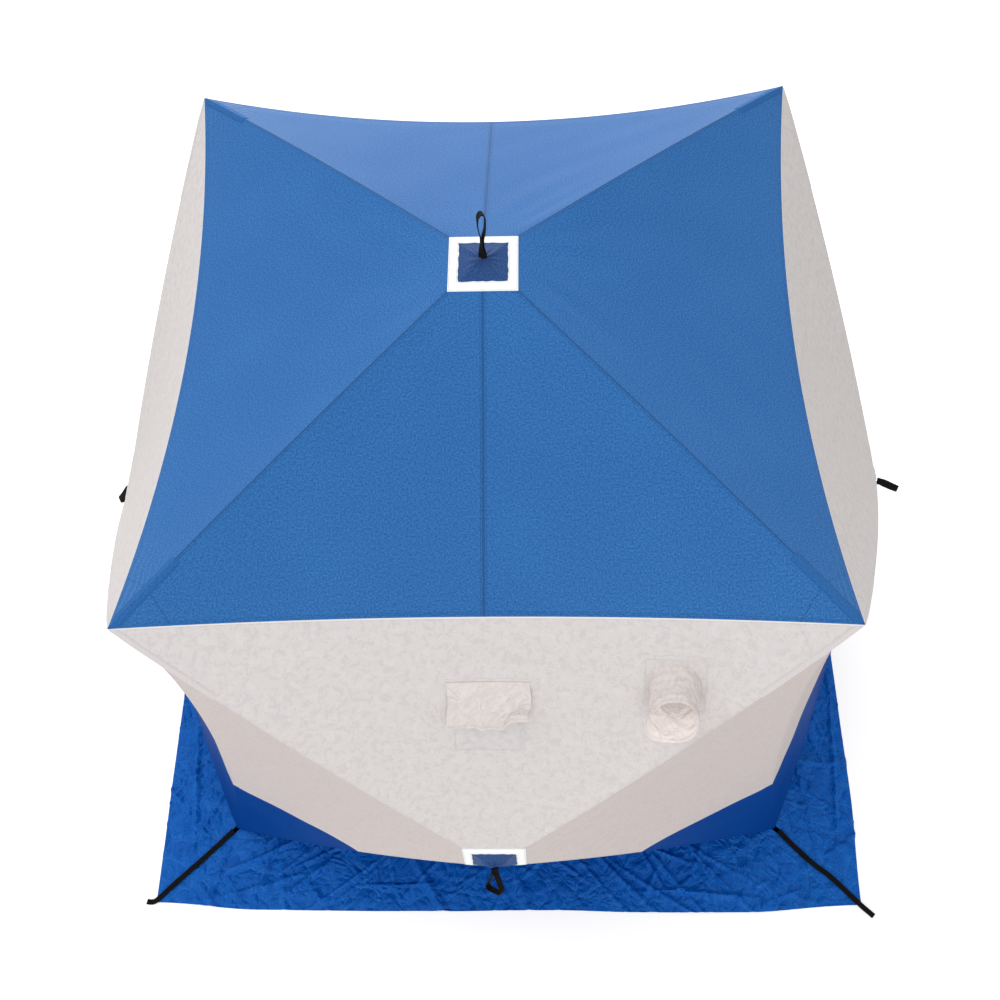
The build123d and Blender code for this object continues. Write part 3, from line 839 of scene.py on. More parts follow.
def crumple(shape, size, seed, folds, height):
    """Random creases over a grid: straight ridges of different length and direction"""
    random = np.random.default_rng(seed)
    y, x = np.mgrid[0 : size[1] : shape[0] * 1j, 0 : size[0] : shape[1] * 1j]
    total = np.zeros(shape)
    for _ in range(folds):
        cx, cy = random.uniform(0, size[0]), random.uniform(0, size[1])
        angle, reach = random.uniform(0, math.pi), random.uniform(0.3, 1.0) * min(size) * 0.9
        width = random.uniform(0.05, 0.16) * min(size)
        along = (x - cx) * math.cos(angle) + (y - cy) * math.sin(angle)
        aside = (y - cy) * math.cos(angle) - (x - cx) * math.sin(angle)
        ridge = np.exp(-np.abs(aside) / width) * np.exp(-((along / reach) ** 2))
        total += random.uniform(-0.7, 1.0) * ridge
    return total * height


def plain_maps(width, height, shape):
    """Flat cloth coordinates of a rectangle"""
    y, x = np.mgrid[0 : height : shape[0] * 1j, -width / 2 : width / 2 : shape[1] * 1j]
    return {"flat": np.stack((x, y), -1), "seam": np.stack((x, height - y), -1)}


def walk_round(corners, per_side):
    """Points along the sides of a closed outline, back to its first corner"""
    corners = np.array([*corners, corners[0]], float)
    shares = np.linspace(0, 1, per_side, endpoint=False)[:, None]
    return np.concatenate([a + (b - a) * shares for a, b in zip(corners[:-1], corners[1:])] + [corners[:1]])


window_site = cloth_site(front_net, *window_place)
window_out = window_site[1][2]
half_w, half_h = window_width / 2, window_height / 2
opening = [(-half_w, -half_h, 0), (half_w, -half_h, 0), (half_w, half_h, 0), (-half_w, half_h, 0)]
cut_with(front_upper, cutting_block(at_site(window_site, opening), window_out * 0.02), "DIFFERENCE")

net_paint, tree, shader = new_finish("window netting", 0.7, Specular_IOR_Level=0.2)
flat = cloth_map(tree, "flat")
meshes = woven(tree, flat, 0.0021)["Height"]
broad = noise(tree, flat, 45.0, 3.0)
colour = tinted(tree, step_between(tree, meshes, 0.55, 0.85), net_white, net_grey, 0.55)
colour = tinted(tree, step_between(tree, broad, 0.4, 0.7), colour, net_grey, 0.40)
dress(tree, shader, colour, (meshes, -0.0006), (broad, 0.005))
shape = (46, 40)
y, x = np.mgrid[-half_h : half_h : shape[0] * 1j, -half_w : half_w : shape[1] * 1j]
sag = np.abs(crumple(shape, (window_width, window_height), 5, 40, 0.0046))
border = np.minimum(half_w - np.abs(x), half_h - np.abs(y))
pane_points = on_front(window_site, np.stack((x, y, 0 * x), -1), sag * eased(border, 0, 0.02) - 0.0004)
pane = cloth_sheet("vent_window_net", pane_points, plain_maps(window_width, window_height, shape), window_out)
give_thickness(pane, net_thickness, net_paint)
fit_cloth(pane, "window_net", "vent_window", flat=(window_width, window_height), **on_front_cloth)


def soft_ring(site, inner, outer, rows, per_side, rise):
    """Grid of points on a square ring of cloth that lies on the front wall's upper cloth"""
    share = np.linspace(0, 1, rows)[:, None, None]
    sizes = np.array(inner) + (np.array(outer) - np.array(inner)) * share
    flat = walk_round([(-1, -1), (1, -1), (1, 1), (-1, 1)], per_side) * sizes
    places = np.insert(flat, 2, 0.0, -1)
    gap = 0.0035 + share[..., 0] * (outer[0] - inner[0])
    seam = np.stack(np.broadcast_arrays(1.0 + run_length(at_site(site, places), 1), gap), -1)
    return on_front(site, places, rise), {"flat": flat, "seam": seam, "edge": seam + 1.0}


hem_inner, hem_outer = ((half_w + grow, half_h + grow) for grow in (-hem_lap, hem_width))
hem_points, hem_maps = soft_ring(window_site, hem_inner, hem_outer, 6, 40, 0.0007)
window_hem = cloth_sheet("vent_window_hem", hem_points, hem_maps, window_out)
give_thickness(window_hem, hem_thickness, wall_finishes[True])
fit_cloth(window_hem, "wall_cloth", flat=(2 * hem_outer[0], 2 * hem_outer[1]), area=0.0225, **on_front_cloth)


def lining_finish(name, glow=0.0):
    """Soft pale lining cloth, creased, faintly pink against the wall, with painted shade along its creases; glow is a
    painted glow that stands in for the daylight coming through it
    """
    material, tree, shader = new_finish(name, 0.75, Specular_IOR_Level=0.12, Emission_Strength=glow)
    flat = cloth_map(tree, "flat")
    run, gap = both_ways(tree, "seam")
    cloth = woven(tree, flat, 0.0009)
    folds = distance(tree, noise(tree, flat, 30.0, 3.0, Distortion=0.6), 0.5)
    hem_line = calc(tree, "MULTIPLY", below(tree, distance(tree, gap, 0.0105), 0.0007, 0.0005), 0.7)
    hem = most_of(tree, stitch_rows(tree, run, gap, 0.0075), hem_line)
    # Painted shade: the cloth is darker along the creases
    colour = tinted(tree, below(tree, folds, 0.05, 0.05), lining_white, lining_shade, 0.35)
    colour = tinted(tree, hem, colour, lining_shade, 0.6)
    colour = tinted(tree, step_between(tree, cloth["Grain"], 0.35, 0.75), colour, lining_shade, 0.14)
    layers = ((folds, 0.012), (hem, -0.0005), (cloth["Height"], 0.0001), (cloth["Grain"], 0.0002))
    dress(tree, shader, colour, *layers, Emission_Color=colour)
    return material


lining = lining_finish("lining cloth")
shape = (56, 72)
y, x = np.mgrid[0 : flap_length : shape[0] * 1j, -flap_width / 2 : flap_width / 2 : shape[1] * 1j]
curl = eased(x, 0.028, 0.062) * eased(y, 0.070, 0.125)
loose = eased(y, 0.004, 0.05)
creases = np.abs(crumple(shape, (flap_width, flap_length), 21, 90, 0.0060)) * loose
rise = flap_clearance + y * math.sin(flap_lift) * 0.9 + curl * 0.016 + creases
drop = y * 0.95 - curl * 0.034
swing = 0.003 * np.sin(y * 40) * loose
flap_points = np.stack((x - curl * 0.004 + swing, half_h + flap_hem - drop, 0 * x), -1)
under = on_front(window_site, flap_points, 0.0)
flap_points[..., 2] = (under - window_site[0]) @ window_out + rise
flap_maps = plain_maps(flap_width, flap_length, shape)
flap = cloth_sheet("vent_flap_cloth", at_site(window_site, flap_points), flap_maps, window_out)
give_thickness(flap, flap_thickness, lining)
cut = {"flat": (flap_width, flap_length), "held": "hung", "rests_on": ["front_wall_upper_panel"]}
fit_cloth(flap, "vent_cloth", "vent_flap", **cut)

# Vent sleeve: a limp tube of the same lining cloth, hemmed at its mouth and sewn to a square of cloth
# that is let into the front wall. It sags, so its top is creased and the mouth's lower lip is flat.
sleeve_radius = 0.059
sleeve_length = 0.10
sleeve_thickness = 0.0014
sleeve_place = (0.76, 0.835)
seam_thickness = 0.0009
sleeve_patch_half = 0.078
sleeve_throw = np.array((-0.014, -0.100, 0.014))
sleeve_site = cloth_site(front_net, *sleeve_place)
sleeve_out = sleeve_site[1][2]
side = sleeve_patch_half
square = [(-side, -side, 0), (side, -side, 0), (side, side, 0), (-side, side, 0)]
sleeve_patch = copy_of(front_upper, "vent_sleeve_patch_cloth")
for piece, operation in ((sleeve_patch, "INTERSECT"), (front_upper, "DIFFERENCE")):
    cut_with(piece, cutting_block(at_site(sleeve_site, square), sleeve_out * 0.04), operation)
angles = np.linspace(0, 2 * math.pi, 49)[:-1]
ring = np.stack((np.cos(angles), np.sin(angles), 0 * angles), -1) * (sleeve_radius - 0.001)
cut_with(sleeve_patch, cutting_block(at_site(sleeve_site, ring), sleeve_throw * 0.35), "DIFFERENCE")
sleeve_patch.data.materials.clear()
sleeve_patch.data.materials.append(wall_finishes[True])
fit_cloth(sleeve_patch, "vent_cloth", "vent_sleeve_patch", flat=(2 * side, 2 * side), area=0.0135, **on_front_cloth)

seam_inner_side, seam_outer_side = (side - 0.009,) * 2, (side + 0.005,) * 2
seam_points, seam_maps = soft_ring(sleeve_site, seam_inner_side, seam_outer_side, 5, 30, 0.0006)
square_seam = cloth_sheet("vent_sleeve_seam", seam_points, seam_maps, sleeve_out)
give_thickness(square_seam, seam_thickness, wall_finishes[True])
fit_cloth(square_seam, "wall_cloth", flat=(0.166, 0.166), area=0.0085, **on_front_cloth)

shape = (44, 97)
reach = np.linspace(0, 1, shape[0])[:, None]
angles = np.linspace(0, 2 * math.pi, shape[1])[None, :]
c, s = np.cos(angles), np.sin(angles)
lip_turns = np.radians((0, 45, 90, 135, 180, 225, 270, 315, 360))
lip_reaches = (1.00, 1.10, 1.00, 0.86, 0.96, 1.26, 0.98, 1.06, 1.00)
lip = np.interp(angles, lip_turns, lip_reaches)
for _ in range(6):
    lip = (np.roll(lip, 1, 1) + lip + np.roll(lip, -1, 1)) / 3
radius = sleeve_radius * (1 + (lip - 1) * eased(reach, 0.15, 1.0))
creased = eased(reach, 0.04, 0.2) * (1 - 0.75 * eased(reach, 0.86, 0.95))
creases = crumple(shape, (0.37, sleeve_length), 33, 70, 0.0050) * creased
on_top = eased(s, 0.0, 0.7) * eased(reach, 0.05, 0.2) * (1 - eased(reach, 0.8, 0.95))
rings = 0.0009 * np.sin(reach * 34 + 2.6 * np.sin(angles * 2 + 1.0)) * on_top
closing = np.minimum(1, 12 * np.minimum(angles, 2 * math.pi - angles))
sag = 0.004 * eased(s, 0.3, 1.0) * eased(reach, 0.2, 0.6) * (1 - eased(reach, 0.7, 1.0))
wide = radius + (creases + rings) * closing - sag
tube = at_site(sleeve_site, np.stack((wide * c, wide * s, 0 * wide), -1))
tube = tube + (reach * 1.03 - 0.03)[..., None] * sleeve_throw
around, onward = np.broadcast_arrays(angles * sleeve_radius, reach * sleeve_length)
sleeve_maps = {"flat": np.stack((around, onward), -1), "seam": np.stack((around, sleeve_length - onward), -1)}
sleeve = cloth_sheet("vent_sleeve_cloth", tube, sleeve_maps, out_axis)
face_outward(sleeve, 0.00005)
sleeve.data.materials.append(lining)
# The sleeve's inner side glows a little: painted light standing in for daylight through the cloth
sleeve.data.materials.append(lining_finish("lining cloth lit through", 0.26))
finish_with(sleeve, "SOLIDIFY", thickness=sleeve_thickness, offset=-1.0, material_offset=1)
cut = {"flat": (0.371, 0.103), "held": "hung", "rests_on": ["vent_sleeve_patch"]}
fit_cloth(sleeve, "vent_cloth", "vent_sleeve", **cut)

# Hub patches: squares of indigo cloth sewn over the five hubs, puckered round the pull loops.
# A frame of white reflective tape is stitched along their sides.
tape_width = 0.024
tape_lift = 0.0012
tape_thickness = 0.0009
patch_thickness = 0.0014
patch_indigo = (0.030, 0.098, 0.300, 1.0)
patch_dark = (0.010, 0.046, 0.165, 1.0)
tape_white = (0.900, 0.915, 0.920, 1.0)
tape_grey = (0.760, 0.780, 0.795, 1.0)
tape_thread = (0.45, 0.47, 0.50, 1.0)


def patch_grid(hub, corners, shares, wobble, seed):
    """Grid of points over a hub patch: rows out from the hub, columns round its four sides"""
    hub = np.array(hub, float)
    around = walk_round([at_patch(hub, corner)[0] for corner in np.array(corners, float)], 24)
    random = np.random.default_rng(seed)
    place = np.linspace(0, 2 * math.pi, len(around))
    wave = sum(random.uniform(0.3, 1.0) * np.sin(place * k + random.uniform(0, 6)) for k in (3, 7, 11, 17, 23))
    rows = shares[:, None] + wobble * wave * (np.arange(len(shares)) == 0)[:, None]
    points = hub + (around - hub) * rows[..., None]
    near_loop = eased(rows, 0.05, 0.2) * (1 - eased(rows, 0.3, 0.62))
    puckers = 0.0010 * (1 + np.sin(place * 13 + 2 * np.sin(place * 3 + seed))) * near_loop
    points[..., 2] += cloth_lift + puckers
    seam = np.stack((run_length(points, 1), (1 - rows) * patch_half), -1)
    return points, {"flat": points[..., :2] - hub[:2], "seam": seam}


def cell_edges(tree, place, scale):
    """Distance to the edges of a pattern of cells"""
    inputs = {"Vector": place, "Scale": scale}
    return node(tree, "ShaderNodeTexVoronoi", inputs, feature="DISTANCE_TO_EDGE").outputs[0]


patch_paint, tree, shader = new_finish("patch cloth", 0.6, Specular_IOR_Level=0.2)
flat = cloth_map(tree, "flat")
cloth = woven(tree, flat, 0.0016)
heart = node(tree, "ShaderNodeVectorMath", {0: flat}, operation="LENGTH").outputs[1]
colour = grainy(tree, cloth, patch_dark, patch_indigo, 0.36, 0.66)
colour = tinted(tree, below(tree, heart, 0.022, 0.014), colour, patch_dark, 0.55)
dress(tree, shader, colour, (cloth["Height"], 0.0002), (cloth["Grain"], 0.0007))

# The tape glows a little: painted light standing in for the bright return of its reflective beads
tape_paint, tree, shader = new_finish("reflective tape", 0.42, Specular_IOR_Level=0.5, Emission_Strength=0.16)
flat = cloth_map(tree, "flat")
beads = node(tree, "ShaderNodeTexVoronoi", {"Vector": flat, "Scale": 420.0}).outputs[0]
threads = stitch_rows(tree, *both_ways(tree, "seam"), 0.0025, 0.0215)
colour = tinted(tree, below(tree, cell_edges(tree, flat, 190.0), 0.06, 0.03), tape_white, tape_grey, 0.4)
colour = tinted(tree, threads, colour, tape_thread, 0.5)
dress(tree, shader, colour, (beads, 0.0004), (threads, -0.0004), Emission_Color=colour)

roof_corners = [(x * roof_half, y * roof_half, corner_height) for x, y in ((-1, -1), (1, -1), (1, 1), (-1, 1))]
hub_sites = {"roof": ((0, 0, peak_height), roof_corners, turned, 0)}
for side, turn in face_turns.items():
    hub_sites[side] = ((0, wall_hub_height, wall_hub_reach), list(wall_corners.values()), on_wall, turn)
patch_shares = np.linspace(0.03, 1, 30)
tape_shares = np.linspace(1 - tape_width / patch_half, 1.004, 8)
patches, tapes = [], []
for number, (side, (hub, corners, put, turn)) in enumerate(hub_sites.items()):
    patch_points, patch_maps = patch_grid(hub, corners, patch_shares, 0.0, number)
    tape_points, tape_maps = patch_grid(hub, corners, tape_shares, 0.006, number)
    tape_points[..., 2] += tape_lift
    outward = put(out_axis, turn)
    patches.append(cloth_sheet(f"{side}_hub_patch_cloth", put(patch_points, turn), patch_maps, outward))
    tapes.append(cloth_sheet(f"{side}_reflective_tape", put(tape_points, turn), tape_maps, outward))
    give_thickness(patches[-1], patch_thickness, patch_paint)
    give_thickness(tapes[-1], tape_thickness, tape_paint)
cut = {"flat": (0.170, 0.170), "held": "stretched"}
fit_cloth(patches[0], "patch_cloth", "roof_hub_patch", rests_on=["roof_hub"], **cut)
fit_cloth(tapes[0], "reflective_tape", "roof_reflective_frame", rests_on=["roof_hub_patch"], area=0.0142, **cut)
wall_patches = joined("wall_hub_patch_cloth", patches[1:])
wall_tapes = joined("wall_reflective_tape", tapes[1:])
cut = {"flat": (0.172, 0.690), "held": "stretched"}
fit_cloth(wall_patches, "patch_cloth", "wall_hub_patches", rests_on=["wall_hubs"], **cut)
fit_cloth(wall_tapes, "reflective_tape", "wall_reflective_frames", rests_on=["wall_hub_patches"], area=0.058, **cut)

# Pull loops: black ribbed webbing, doubled and bolted through each hub patch, with an eye for the hand.
# The roof's stands up and twists; those of the walls hang down, each a little differently.
webbing_width = 0.020
webbing_thickness = 0.0022
rib_pitch = 0.0022
pick_pitch = 0.0014
roof_loop_seat = 0.0055
wall_loop_seat = 0.0065
webbing_black = (0.0030, 0.0030, 0.0036, 1.0)
webbing_rib = (0.0120, 0.0120, 0.0132, 1.0)


webbing_paint, tree, shader = new_finish("black webbing", 0.7, Specular_IOR_Level=0.10)
flat_x, flat_y = both_ways(tree, "flat")
ribs = calc(tree, "MULTIPLY_ADD", ripple(tree, flat_x, rib_pitch), 0.5, 0.5)
picks = calc(tree, "MULTIPLY_ADD", ripple(tree, flat_y, pick_pitch), 0.5, 0.5)
fuzz = noise(tree, cloth_map(tree, "flat"), 300.0, 2.0)
raised = all_of(tree, ribs, picks, step_between(tree, fuzz, 0.3, 0.7))
colour = tinted(tree, raised, webbing_black, webbing_rib)
dress(tree, shader, colour, (ribs, 0.0004), (picks, 0.0002), (fuzz, 0.0004))


def softened(points, rounds):
    """A line of points with its corners cut off again and again"""
    points = np.array(points, float)
    for _ in range(rounds):
        near = points[:-1] * 0.75 + points[1:] * 0.25
        far = points[:-1] * 0.25 + points[1:] * 0.75
        points = np.concatenate((points[:1], np.stack((near, far), 1).reshape(-1, points.shape[1]), points[-1:]))
    return points


def webbing_strip(name, line, across, outward, width=webbing_width):
    """A strip of webbing along a line of points; across gives the direction of its width at each point"""
    across = unit(across)
    shares = np.linspace(-0.5, 0.5, 7)
    points = line[:, None] + across[:, None] * shares[None, :, None] * width
    run = run_length(points, 0)
    maps = {"flat": np.stack((np.broadcast_to(shares * width, run.shape), run), -1)}
    strip = cloth_sheet(name, points, maps, outward)
    finish_with(strip, "SOLIDIFY", thickness=webbing_thickness, offset=0.0)
    strip.data.materials.append(webbing_paint)
    return strip


def pull_loop(name, apex, axes, shape, twist):
    """A pull loop: shape lists height and half opening, twist lists height and turn in degrees"""
    level, up, out = axes
    half = [(height, -opening) for height, opening in shape]
    route = softened(half + [(height, -aside) for height, aside in half[::-1]], 3)
    turn = np.radians(np.interp(route[:, 0], *zip(*twist)))
    apart = np.cos(turn)[:, None] * level - np.sin(turn)[:, None] * out
    across = np.cos(turn)[:, None] * out + np.sin(turn)[:, None] * level
    line = apex + route[:, :1] * up + route[:, 1:] * apart
    return webbing_strip(name, line, across, level)


roof_lean = math.radians(15)
lean_up = np.array((0.0, math.sin(roof_lean), math.cos(roof_lean)))
level = np.array((1.0, 0.0, 0.0))
roof_loop_shape = [
    (0.0, 0.0022),
    (0.020, 0.0016),
    (0.044, 0.0016),
    (0.056, 0.0024),
    (0.074, 0.0078),
    (0.098, 0.0095),
    (0.112, 0.0085),
    (0.1205, 0.0030),
]
roof_loop_twist = [(0.0, 72.0), (0.012, 55.0), (0.034, 20.0), (0.090, 8.0), (0.121, 16.0)]
roof_apex = np.array((0.0, 0.0, peak_height + roof_loop_seat))
roof_axes = (level, lean_up, np.cross(level, lean_up))
roof_loop = pull_loop("roof_pull_loop_webbing", roof_apex, roof_axes, roof_loop_shape, roof_loop_twist)
fit_cloth(roof_loop, "webbing", "roof_pull_loop")

wall_loop_droops = {"front": 46.0, "right": 34.0, "back": 46.0, "left": 72.0}
wall_loop_twists = {"front": 31.0, "right": -38.0, "back": 34.0, "left": 52.0}
wall_loop_shape = [
    (0.0, 0.0022),
    (0.008, 0.0018),
    (0.014, 0.0040),
    (0.044, 0.0165),
    (0.062, 0.0255),
    (0.070, 0.0220),
    (0.071, 0.0070),
]
loops = []
for side, turn in face_turns.items():
    droop, twist = math.radians(wall_loop_droops[side]), wall_loop_twists[side]
    sideways = on_wall(level, turn)
    reach = on_wall(out_axis, turn) * math.cos(droop) - out_axis * math.sin(droop)
    apex = on_wall(np.array((0.0, wall_hub_height, wall_hub_reach + wall_loop_seat)), turn)
    axes = (sideways, reach, np.cross(sideways, reach))
    twists = [(0.0, math.copysign(66.0, twist)), (0.020, twist), (0.071, twist * 1.2)]
    loops.append(pull_loop(f"{side}_pull_loop_webbing", apex, axes, wall_loop_shape, twists))
wall_loops = joined("wall_pull_loop_webbing", loops)
fit_cloth(wall_loops, "webbing", "wall_pull_loops")

# Rods, sockets and hubs: drawn fibreglass rods in zinc-plated sockets, pinned in black moulded hubs.
# They stay as modelled and get finishes with a soft mottle, plating marks or a moulded grain, all a little scuffed.
scuff_grey = (0.30, 0.30, 0.31, 1.0)
finish_kinds = {
    "rod_fibreglass": ((0.030, 0.031, 0.034, 1.0), (0.062, 0.064, 0.068, 1.0), 0.42, 0.0, 9.0, 0.0002),
    "hub_plastic": ((0.018, 0.018, 0.019, 1.0), (0.034, 0.034, 0.036, 1.0), 0.58, 0.0, 420.0, 0.0003),
    "socket_metal": ((0.420, 0.425, 0.430, 1.0), (0.580, 0.585, 0.590, 1.0), 0.34, 1.0, 70.0, 0.0001),
}
finish_by_ending = {
    "_rods": "rod_fibreglass",
    "_hub": "hub_plastic",
    "_hubs": "hub_plastic",
    "_rod_sockets": "socket_metal",
}
hard_finishes = {}
for name, (dark, light, rough, metal, scale, depth) in finish_kinds.items():
    material, tree, shader = new_finish(name.replace("_", " "), rough, Metallic=metal)
    spot = node(tree, "ShaderNodeTexCoord").outputs["Object"]
    grain, scuffs = noise(tree, spot, scale, 5.0, Roughness=0.7), noise(tree, spot, 35.0, 4.0)
    colour = tinted(tree, step_between(tree, grain, 0.35, 0.65), dark, light)
    colour = tinted(tree, step_between(tree, scuffs, 0.58, 0.72), colour, scuff_grey, 0.3)
    wear_and_highlight = calc(tree, "MULTIPLY_ADD", scuffs, 0.22, rough - 0.11)
    dress(tree, shader, colour, (grain, depth), Roughness=wear_and_highlight)
    hard_finishes[name] = material
for title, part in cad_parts.items():
    for ending, finish in finish_by_ending.items():
        if title.endswith(ending):
            part.data.materials.clear()
            part.data.materials.append(hard_finishes[finish])

# Snow skirt: a strip of blue coated cloth along each wall that lies on the ice to be weighed down.
# It was folded in its bag, so it is creased all over, with painted highlights along the creases, and its edge waves a
# little.
skirt_thickness = 0.0010
skirt_gap = 0.0016
skirt_tuck = 0.012
skirt_cut = (2.04, 0.26)
edge_wave = 0.004
skirt_blue = (0.004, 0.166, 0.660, 1.0)
skirt_blue_dark = (0.001, 0.070, 0.360, 1.0)
# Colour of the painted highlights on the skirt's creases
skirt_highlight = (0.030, 0.230, 0.680, 1.0)
skirt_corners = ((-1.139, -1.142), (1.152, -1.146), (1.148, 1.142), (-1.158, 1.142))
skirt_bows = {"front": 0.023, "right": 0.013, "back": 0.010, "left": 0.001}

skirt_paint, tree, shader = new_finish("skirt cloth", 0.36, Specular_IOR_Level=0.12)
flat = cloth_map(tree, "flat")
cloth = woven(tree, flat, 0.0012)
moved = bent_place(tree, flat, 6.0, (0.12, 0.12, 0.0))
cells, crossing = cell_edges(tree, moved, 15.0), cell_edges(tree, moved, 34.0)
soft = noise(tree, moved, 22.0, 3.0)
# Lighter lines along the cell edges: painted highlights on the creases
wear_and_highlight = most_of(tree, below(tree, cells, 0.03, 0.03), calc(tree, "MULTIPLY", below(tree, crossing, 0.04, 0.04), 0.5))
colour = grainy(tree, cloth, skirt_blue_dark, skirt_blue)
colour = tinted(tree, wear_and_highlight, colour, skirt_highlight, 0.26)
colour = tinted(tree, step_between(tree, soft, 0.45, 0.7), colour, skirt_blue_dark, 0.35)
rough = calc(tree, "MULTIPLY_ADD", soft, 0.25, 0.30)
layers = ((cells, 0.016), (crossing, 0.009), (soft, 0.004), (cloth["Grain"], 0.0002))
dress(tree, shader, colour, *layers, Roughness=rough)


def base_edge(along):
    """Line of a wall's lower edge on the ground, drawn in between the corners"""
    first, second = np.array(((-base_half, -base_half), (base_half, -base_half)))
    pull = np.array((0.0, base_edge_draw * 4 / 3))
    knots = (first, first * 2 / 3 + second / 3 + pull, first / 3 + second * 2 / 3 + pull, second)
    return cubic(along) @ np.array(knots)


def skirt_crumple(shape, size, seed):
    """Height of the creased skirt over the ice: long sharp creases between flat facets"""
    random = np.random.default_rng(seed)
    y, x = np.mgrid[0 : size[1] : shape[0] * 1j, 0 : size[0] : shape[1] * 1j]
    total = np.zeros(shape)
    for count, longest, widest, height in ((74, 0.40, 0.018, 0.0140), (240, 0.16, 0.009, 0.0075)):
        for _ in range(count):
            cx, cy, angle = random.uniform(0, size[0]), random.uniform(0, size[1]), random.uniform(0, math.pi)
            reach, width = random.uniform(0.3, 1.0) * longest, random.uniform(0.4, 1.0) * widest
            along = (x - cx) * math.cos(angle) + (y - cy) * math.sin(angle)
            aside = (y - cy) * math.cos(angle) - (x - cx) * math.sin(angle)
            tent = np.clip(1 - np.abs(aside) / width, 0, 1) * np.clip(1.4 - 1.4 * np.abs(along) / reach, 0, 1)
            total += random.uniform(-0.6, 1.0) * height * tent
    return total


shape = (66, 560)
outer, along = np.mgrid[0 : 1 : shape[0] * 1j, 0 : 1 : shape[1] * 1j]
inner_line = base_edge(along) + np.array((0.0, skirt_tuck))
for number, (side, turn) in enumerate(face_turns.items()):
    ends = turned(np.array([(*skirt_corners[k % 4], 0.0) for k in (number, number + 1)]), -turn)[:, :2]
    outer_line = ends[0] + (ends[1] - ends[0]) * along[..., None]
    random = np.random.default_rng(40 + turn)
    wave = 0.0
    for k in (2, 3, 5, 9):
        wave = wave + random.uniform(0.3, 1.0) / k * np.sin(2 * math.pi * (along * k + random.uniform()))
    outer_line[..., 1] -= (skirt_bows[side] + edge_wave * wave) * eased(np.minimum(along, 1 - along), 0.0, 0.16)
    ground = inner_line + (outer_line - inner_line) * outer[..., None]
    mitre = np.abs(np.abs(ground[..., 0]) - np.abs(ground[..., 1])) / math.sqrt(2)
    hold = eased(mitre, 0.014, 0.070) * eased(outer, 0.05, 0.17)
    high = skirt_gap + np.clip(skirt_crumple(shape, skirt_cut, 60 + turn), -0.0006, 0.026) * hold
    points = np.concatenate((ground, high[..., None]), -1)
    maps = {"flat": ground + np.array((turn * 0.1, 0.0))}
    skirt = cloth_sheet(f"{side}_snow_skirt_cloth", turned(points, turn), maps, out_axis)
    give_thickness(skirt, skirt_thickness, skirt_paint)
    cut = {"flat": (2.40, 0.31), "held": "laid", "rests_on": ["floor"], "area": 0.64}
    fit_cloth(skirt, "skirt_cloth", f"{side}_snow_skirt", **cut)

# Anchor straps: black webbing sewn along the four corner seams of the skirt, with a free tail for a peg.
# The front left tail has flopped over to the left; the others lie straight on.
strap_start = (base_half + 0.0104) * math.sqrt(2)
strap_width = 0.017
strap_first = (0.0, 0.0, 0.009)
sewn_height = 0.0062
strap_seams = {
    "front": ((0.10, 0.002), (0.24, -0.002), (0.316, 0.0)),
    "right": ((0.08, -0.005), (0.15, -0.004), (0.21, 0.005), (0.27, 0.003), (0.342, 0.001)),
    "back": ((0.10, 0.003), (0.20, -0.003), (0.334, 0.0)),
    "left": ((0.09, -0.003), (0.21, 0.003), (0.330, 0.0)),
}
strap_tails = {
    "front": ((0.330, -0.004, 0.0048), (0.339, -0.012, 0.0030), (0.346, -0.022, 0.0022)),
    "right": ((0.360, 0.003, 0.0030), (0.386, 0.004, 0.0022)),
    "back": ((0.352, 0.0, 0.0030), (0.385, -0.003, 0.0022)),
    "left": ((0.348, 0.002, 0.0030), (0.380, 0.004, 0.0022)),
}
straps = []
for side, turn in face_turns.items():
    sewn = [(*place, sewn_height) for place in strap_seams[side]]
    route = softened([strap_first, *sewn, *strap_tails[side]], 3)
    line = np.stack((route[:, 1], -strap_start - route[:, 0], route[:, 2]), -1)
    heading = unit(np.gradient(line[:, :2], axis=0))
    across = np.stack((-heading[:, 1], heading[:, 0], 0.03 * np.sin(route[:, 0] * 40)), -1)
    line, across = turned(line, turn - 45), turned(across, turn - 45)
    straps.append(webbing_strip(f"{side}_strap", line, across, out_axis, strap_width))
corner_straps = joined("corner_strap_webbing", straps)
fit_cloth(corner_straps, "webbing", "corner_straps")

# Floor and light: a plain pale floor, large soft lamps behind, above and in front, and an even sky.
# The camera stands in front and looks steeply down on the roof.
floor_pale = (0.88, 0.835, 0.80, 1.0)
floor_light = (0.90, 0.855, 0.82, 1.0)
floor_glow = (0.92, 0.965, 1.0, 1.0)
bpy.ops.mesh.primitive_plane_add(size=60, location=(0, 0, -0.0006))
floor = bpy.context.object
floor.name = "floor"


def seen_rays(tree):
    """1 for rays that come straight from the camera, by reflection or through a surface"""
    ray = node(tree, "ShaderNodeLightPath").outputs
    return most_of(tree, *(ray[f"Is {kind} Ray"] for kind in ("Camera", "Glossy", "Transmission")))


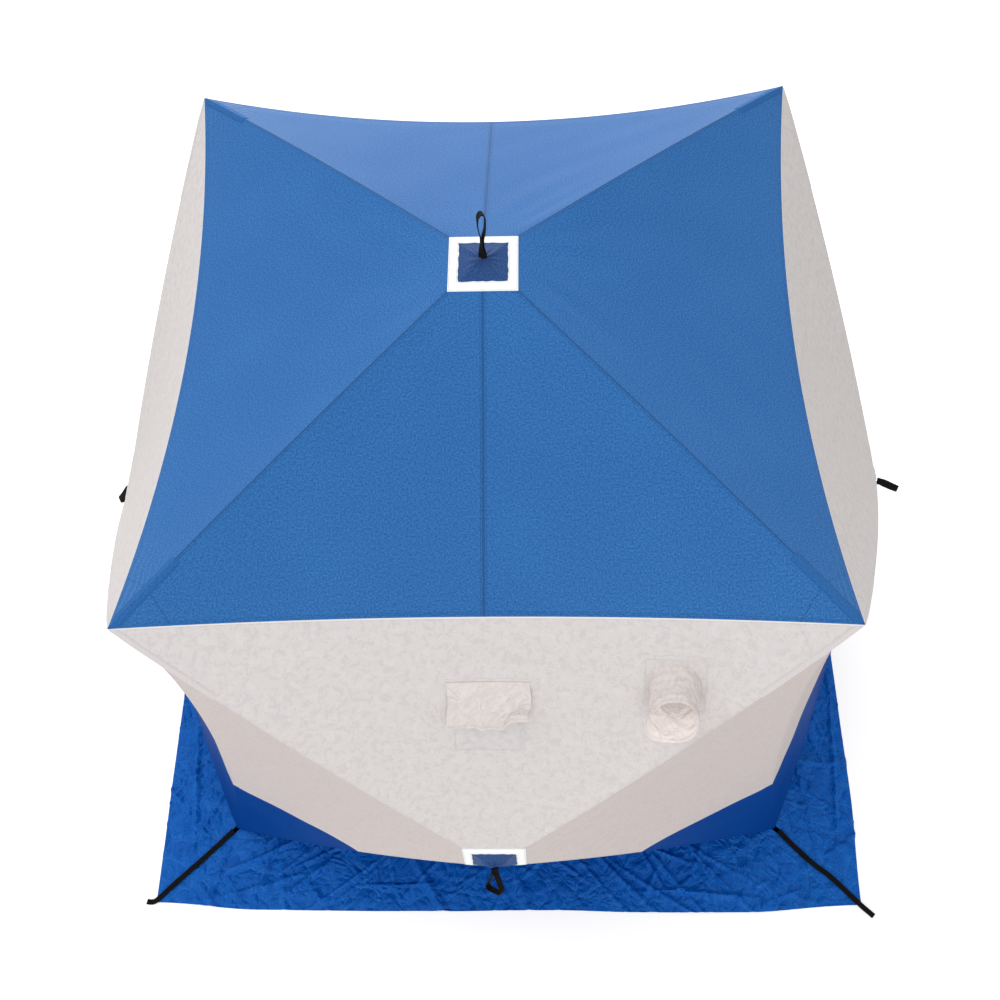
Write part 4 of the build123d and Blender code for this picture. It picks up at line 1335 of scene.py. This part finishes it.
floor_paint = bpy.data.materials.new("pale floor")
floor_paint.use_nodes = True
tree = floor_paint.node_tree
tree.nodes.clear()
speckle = node(tree, "ShaderNodeTexNoise", {"Scale": 3.0, "Detail": 2.0}).outputs[0]
matt = node(tree, "ShaderNodeBsdfDiffuse", {"Color": tinted(tree, speckle, floor_pale, floor_light)})
strength = calc(tree, "MULTIPLY", seen_rays(tree), 0.45)
glow = node(tree, "ShaderNodeEmission", {"Color": floor_glow, "Strength": strength})
both = node(tree, "ShaderNodeAddShader", {0: matt.outputs[0], 1: glow.outputs[0]})
node(tree, "ShaderNodeOutputMaterial", {0: both.outputs[0]})
floor.data.materials.append(floor_paint)

world = bpy.data.worlds.new("studio")
bpy.context.scene.world = world
world.use_nodes = True
tree = world.node_tree
tree.nodes.clear()
strength = calc(tree, "MULTIPLY_ADD", seen_rays(tree), 0.32, 0.68)
sky = node(tree, "ShaderNodeBackground", {"Color": (1, 1, 1, 1), "Strength": strength})
node(tree, "ShaderNodeOutputWorld", {0: sky.outputs[0]})

tent_middle = Vector((0, 0, 0.9))
for name, place, size, power in (
    ("back lamp", (-0.9, 6.8, 3.6), 4.5, 250.0),
    ("top lamp", (-2.6, 0.2, 7.0), 5.0, 90.0),
    ("front lamp", (-0.3, -7.5, 4.2), 5.0, 130.0),
):
    lamp = bpy.data.objects.new(name, bpy.data.lights.new(name, "AREA"))
    lamp.data.size = size
    lamp.data.energy = power
    lamp.location = place
    lamp.rotation_euler = (tent_middle - Vector(place)).to_track_quat("-Z", "Y").to_euler()
    bpy.context.collection.objects.link(lamp)

camera_place = (0.1316, -1.8992, 4.0274)
camera_turns = (-3.9339, 60.6362, -3.9632)
camera = bpy.data.objects.new("camera", bpy.data.cameras.new("camera"))
bpy.context.collection.objects.link(camera)
camera.data.sensor_width = 36.0
camera.data.lens = 43.01
yaw, pitch, roll = (math.radians(angle) for angle in camera_turns)
ahead = Vector((math.sin(yaw) * math.cos(pitch), math.cos(yaw) * math.cos(pitch), -math.sin(pitch)))
level = Vector((math.cos(yaw), -math.sin(yaw), 0))
upright = level.cross(ahead)
right = math.cos(roll) * level + math.sin(roll) * upright
top = -math.sin(roll) * level + math.cos(roll) * upright
facing = Matrix((right, top, -ahead)).transposed().to_4x4()
camera.matrix_world = Matrix.Translation(camera_place) @ facing
bpy.context.scene.camera = camera
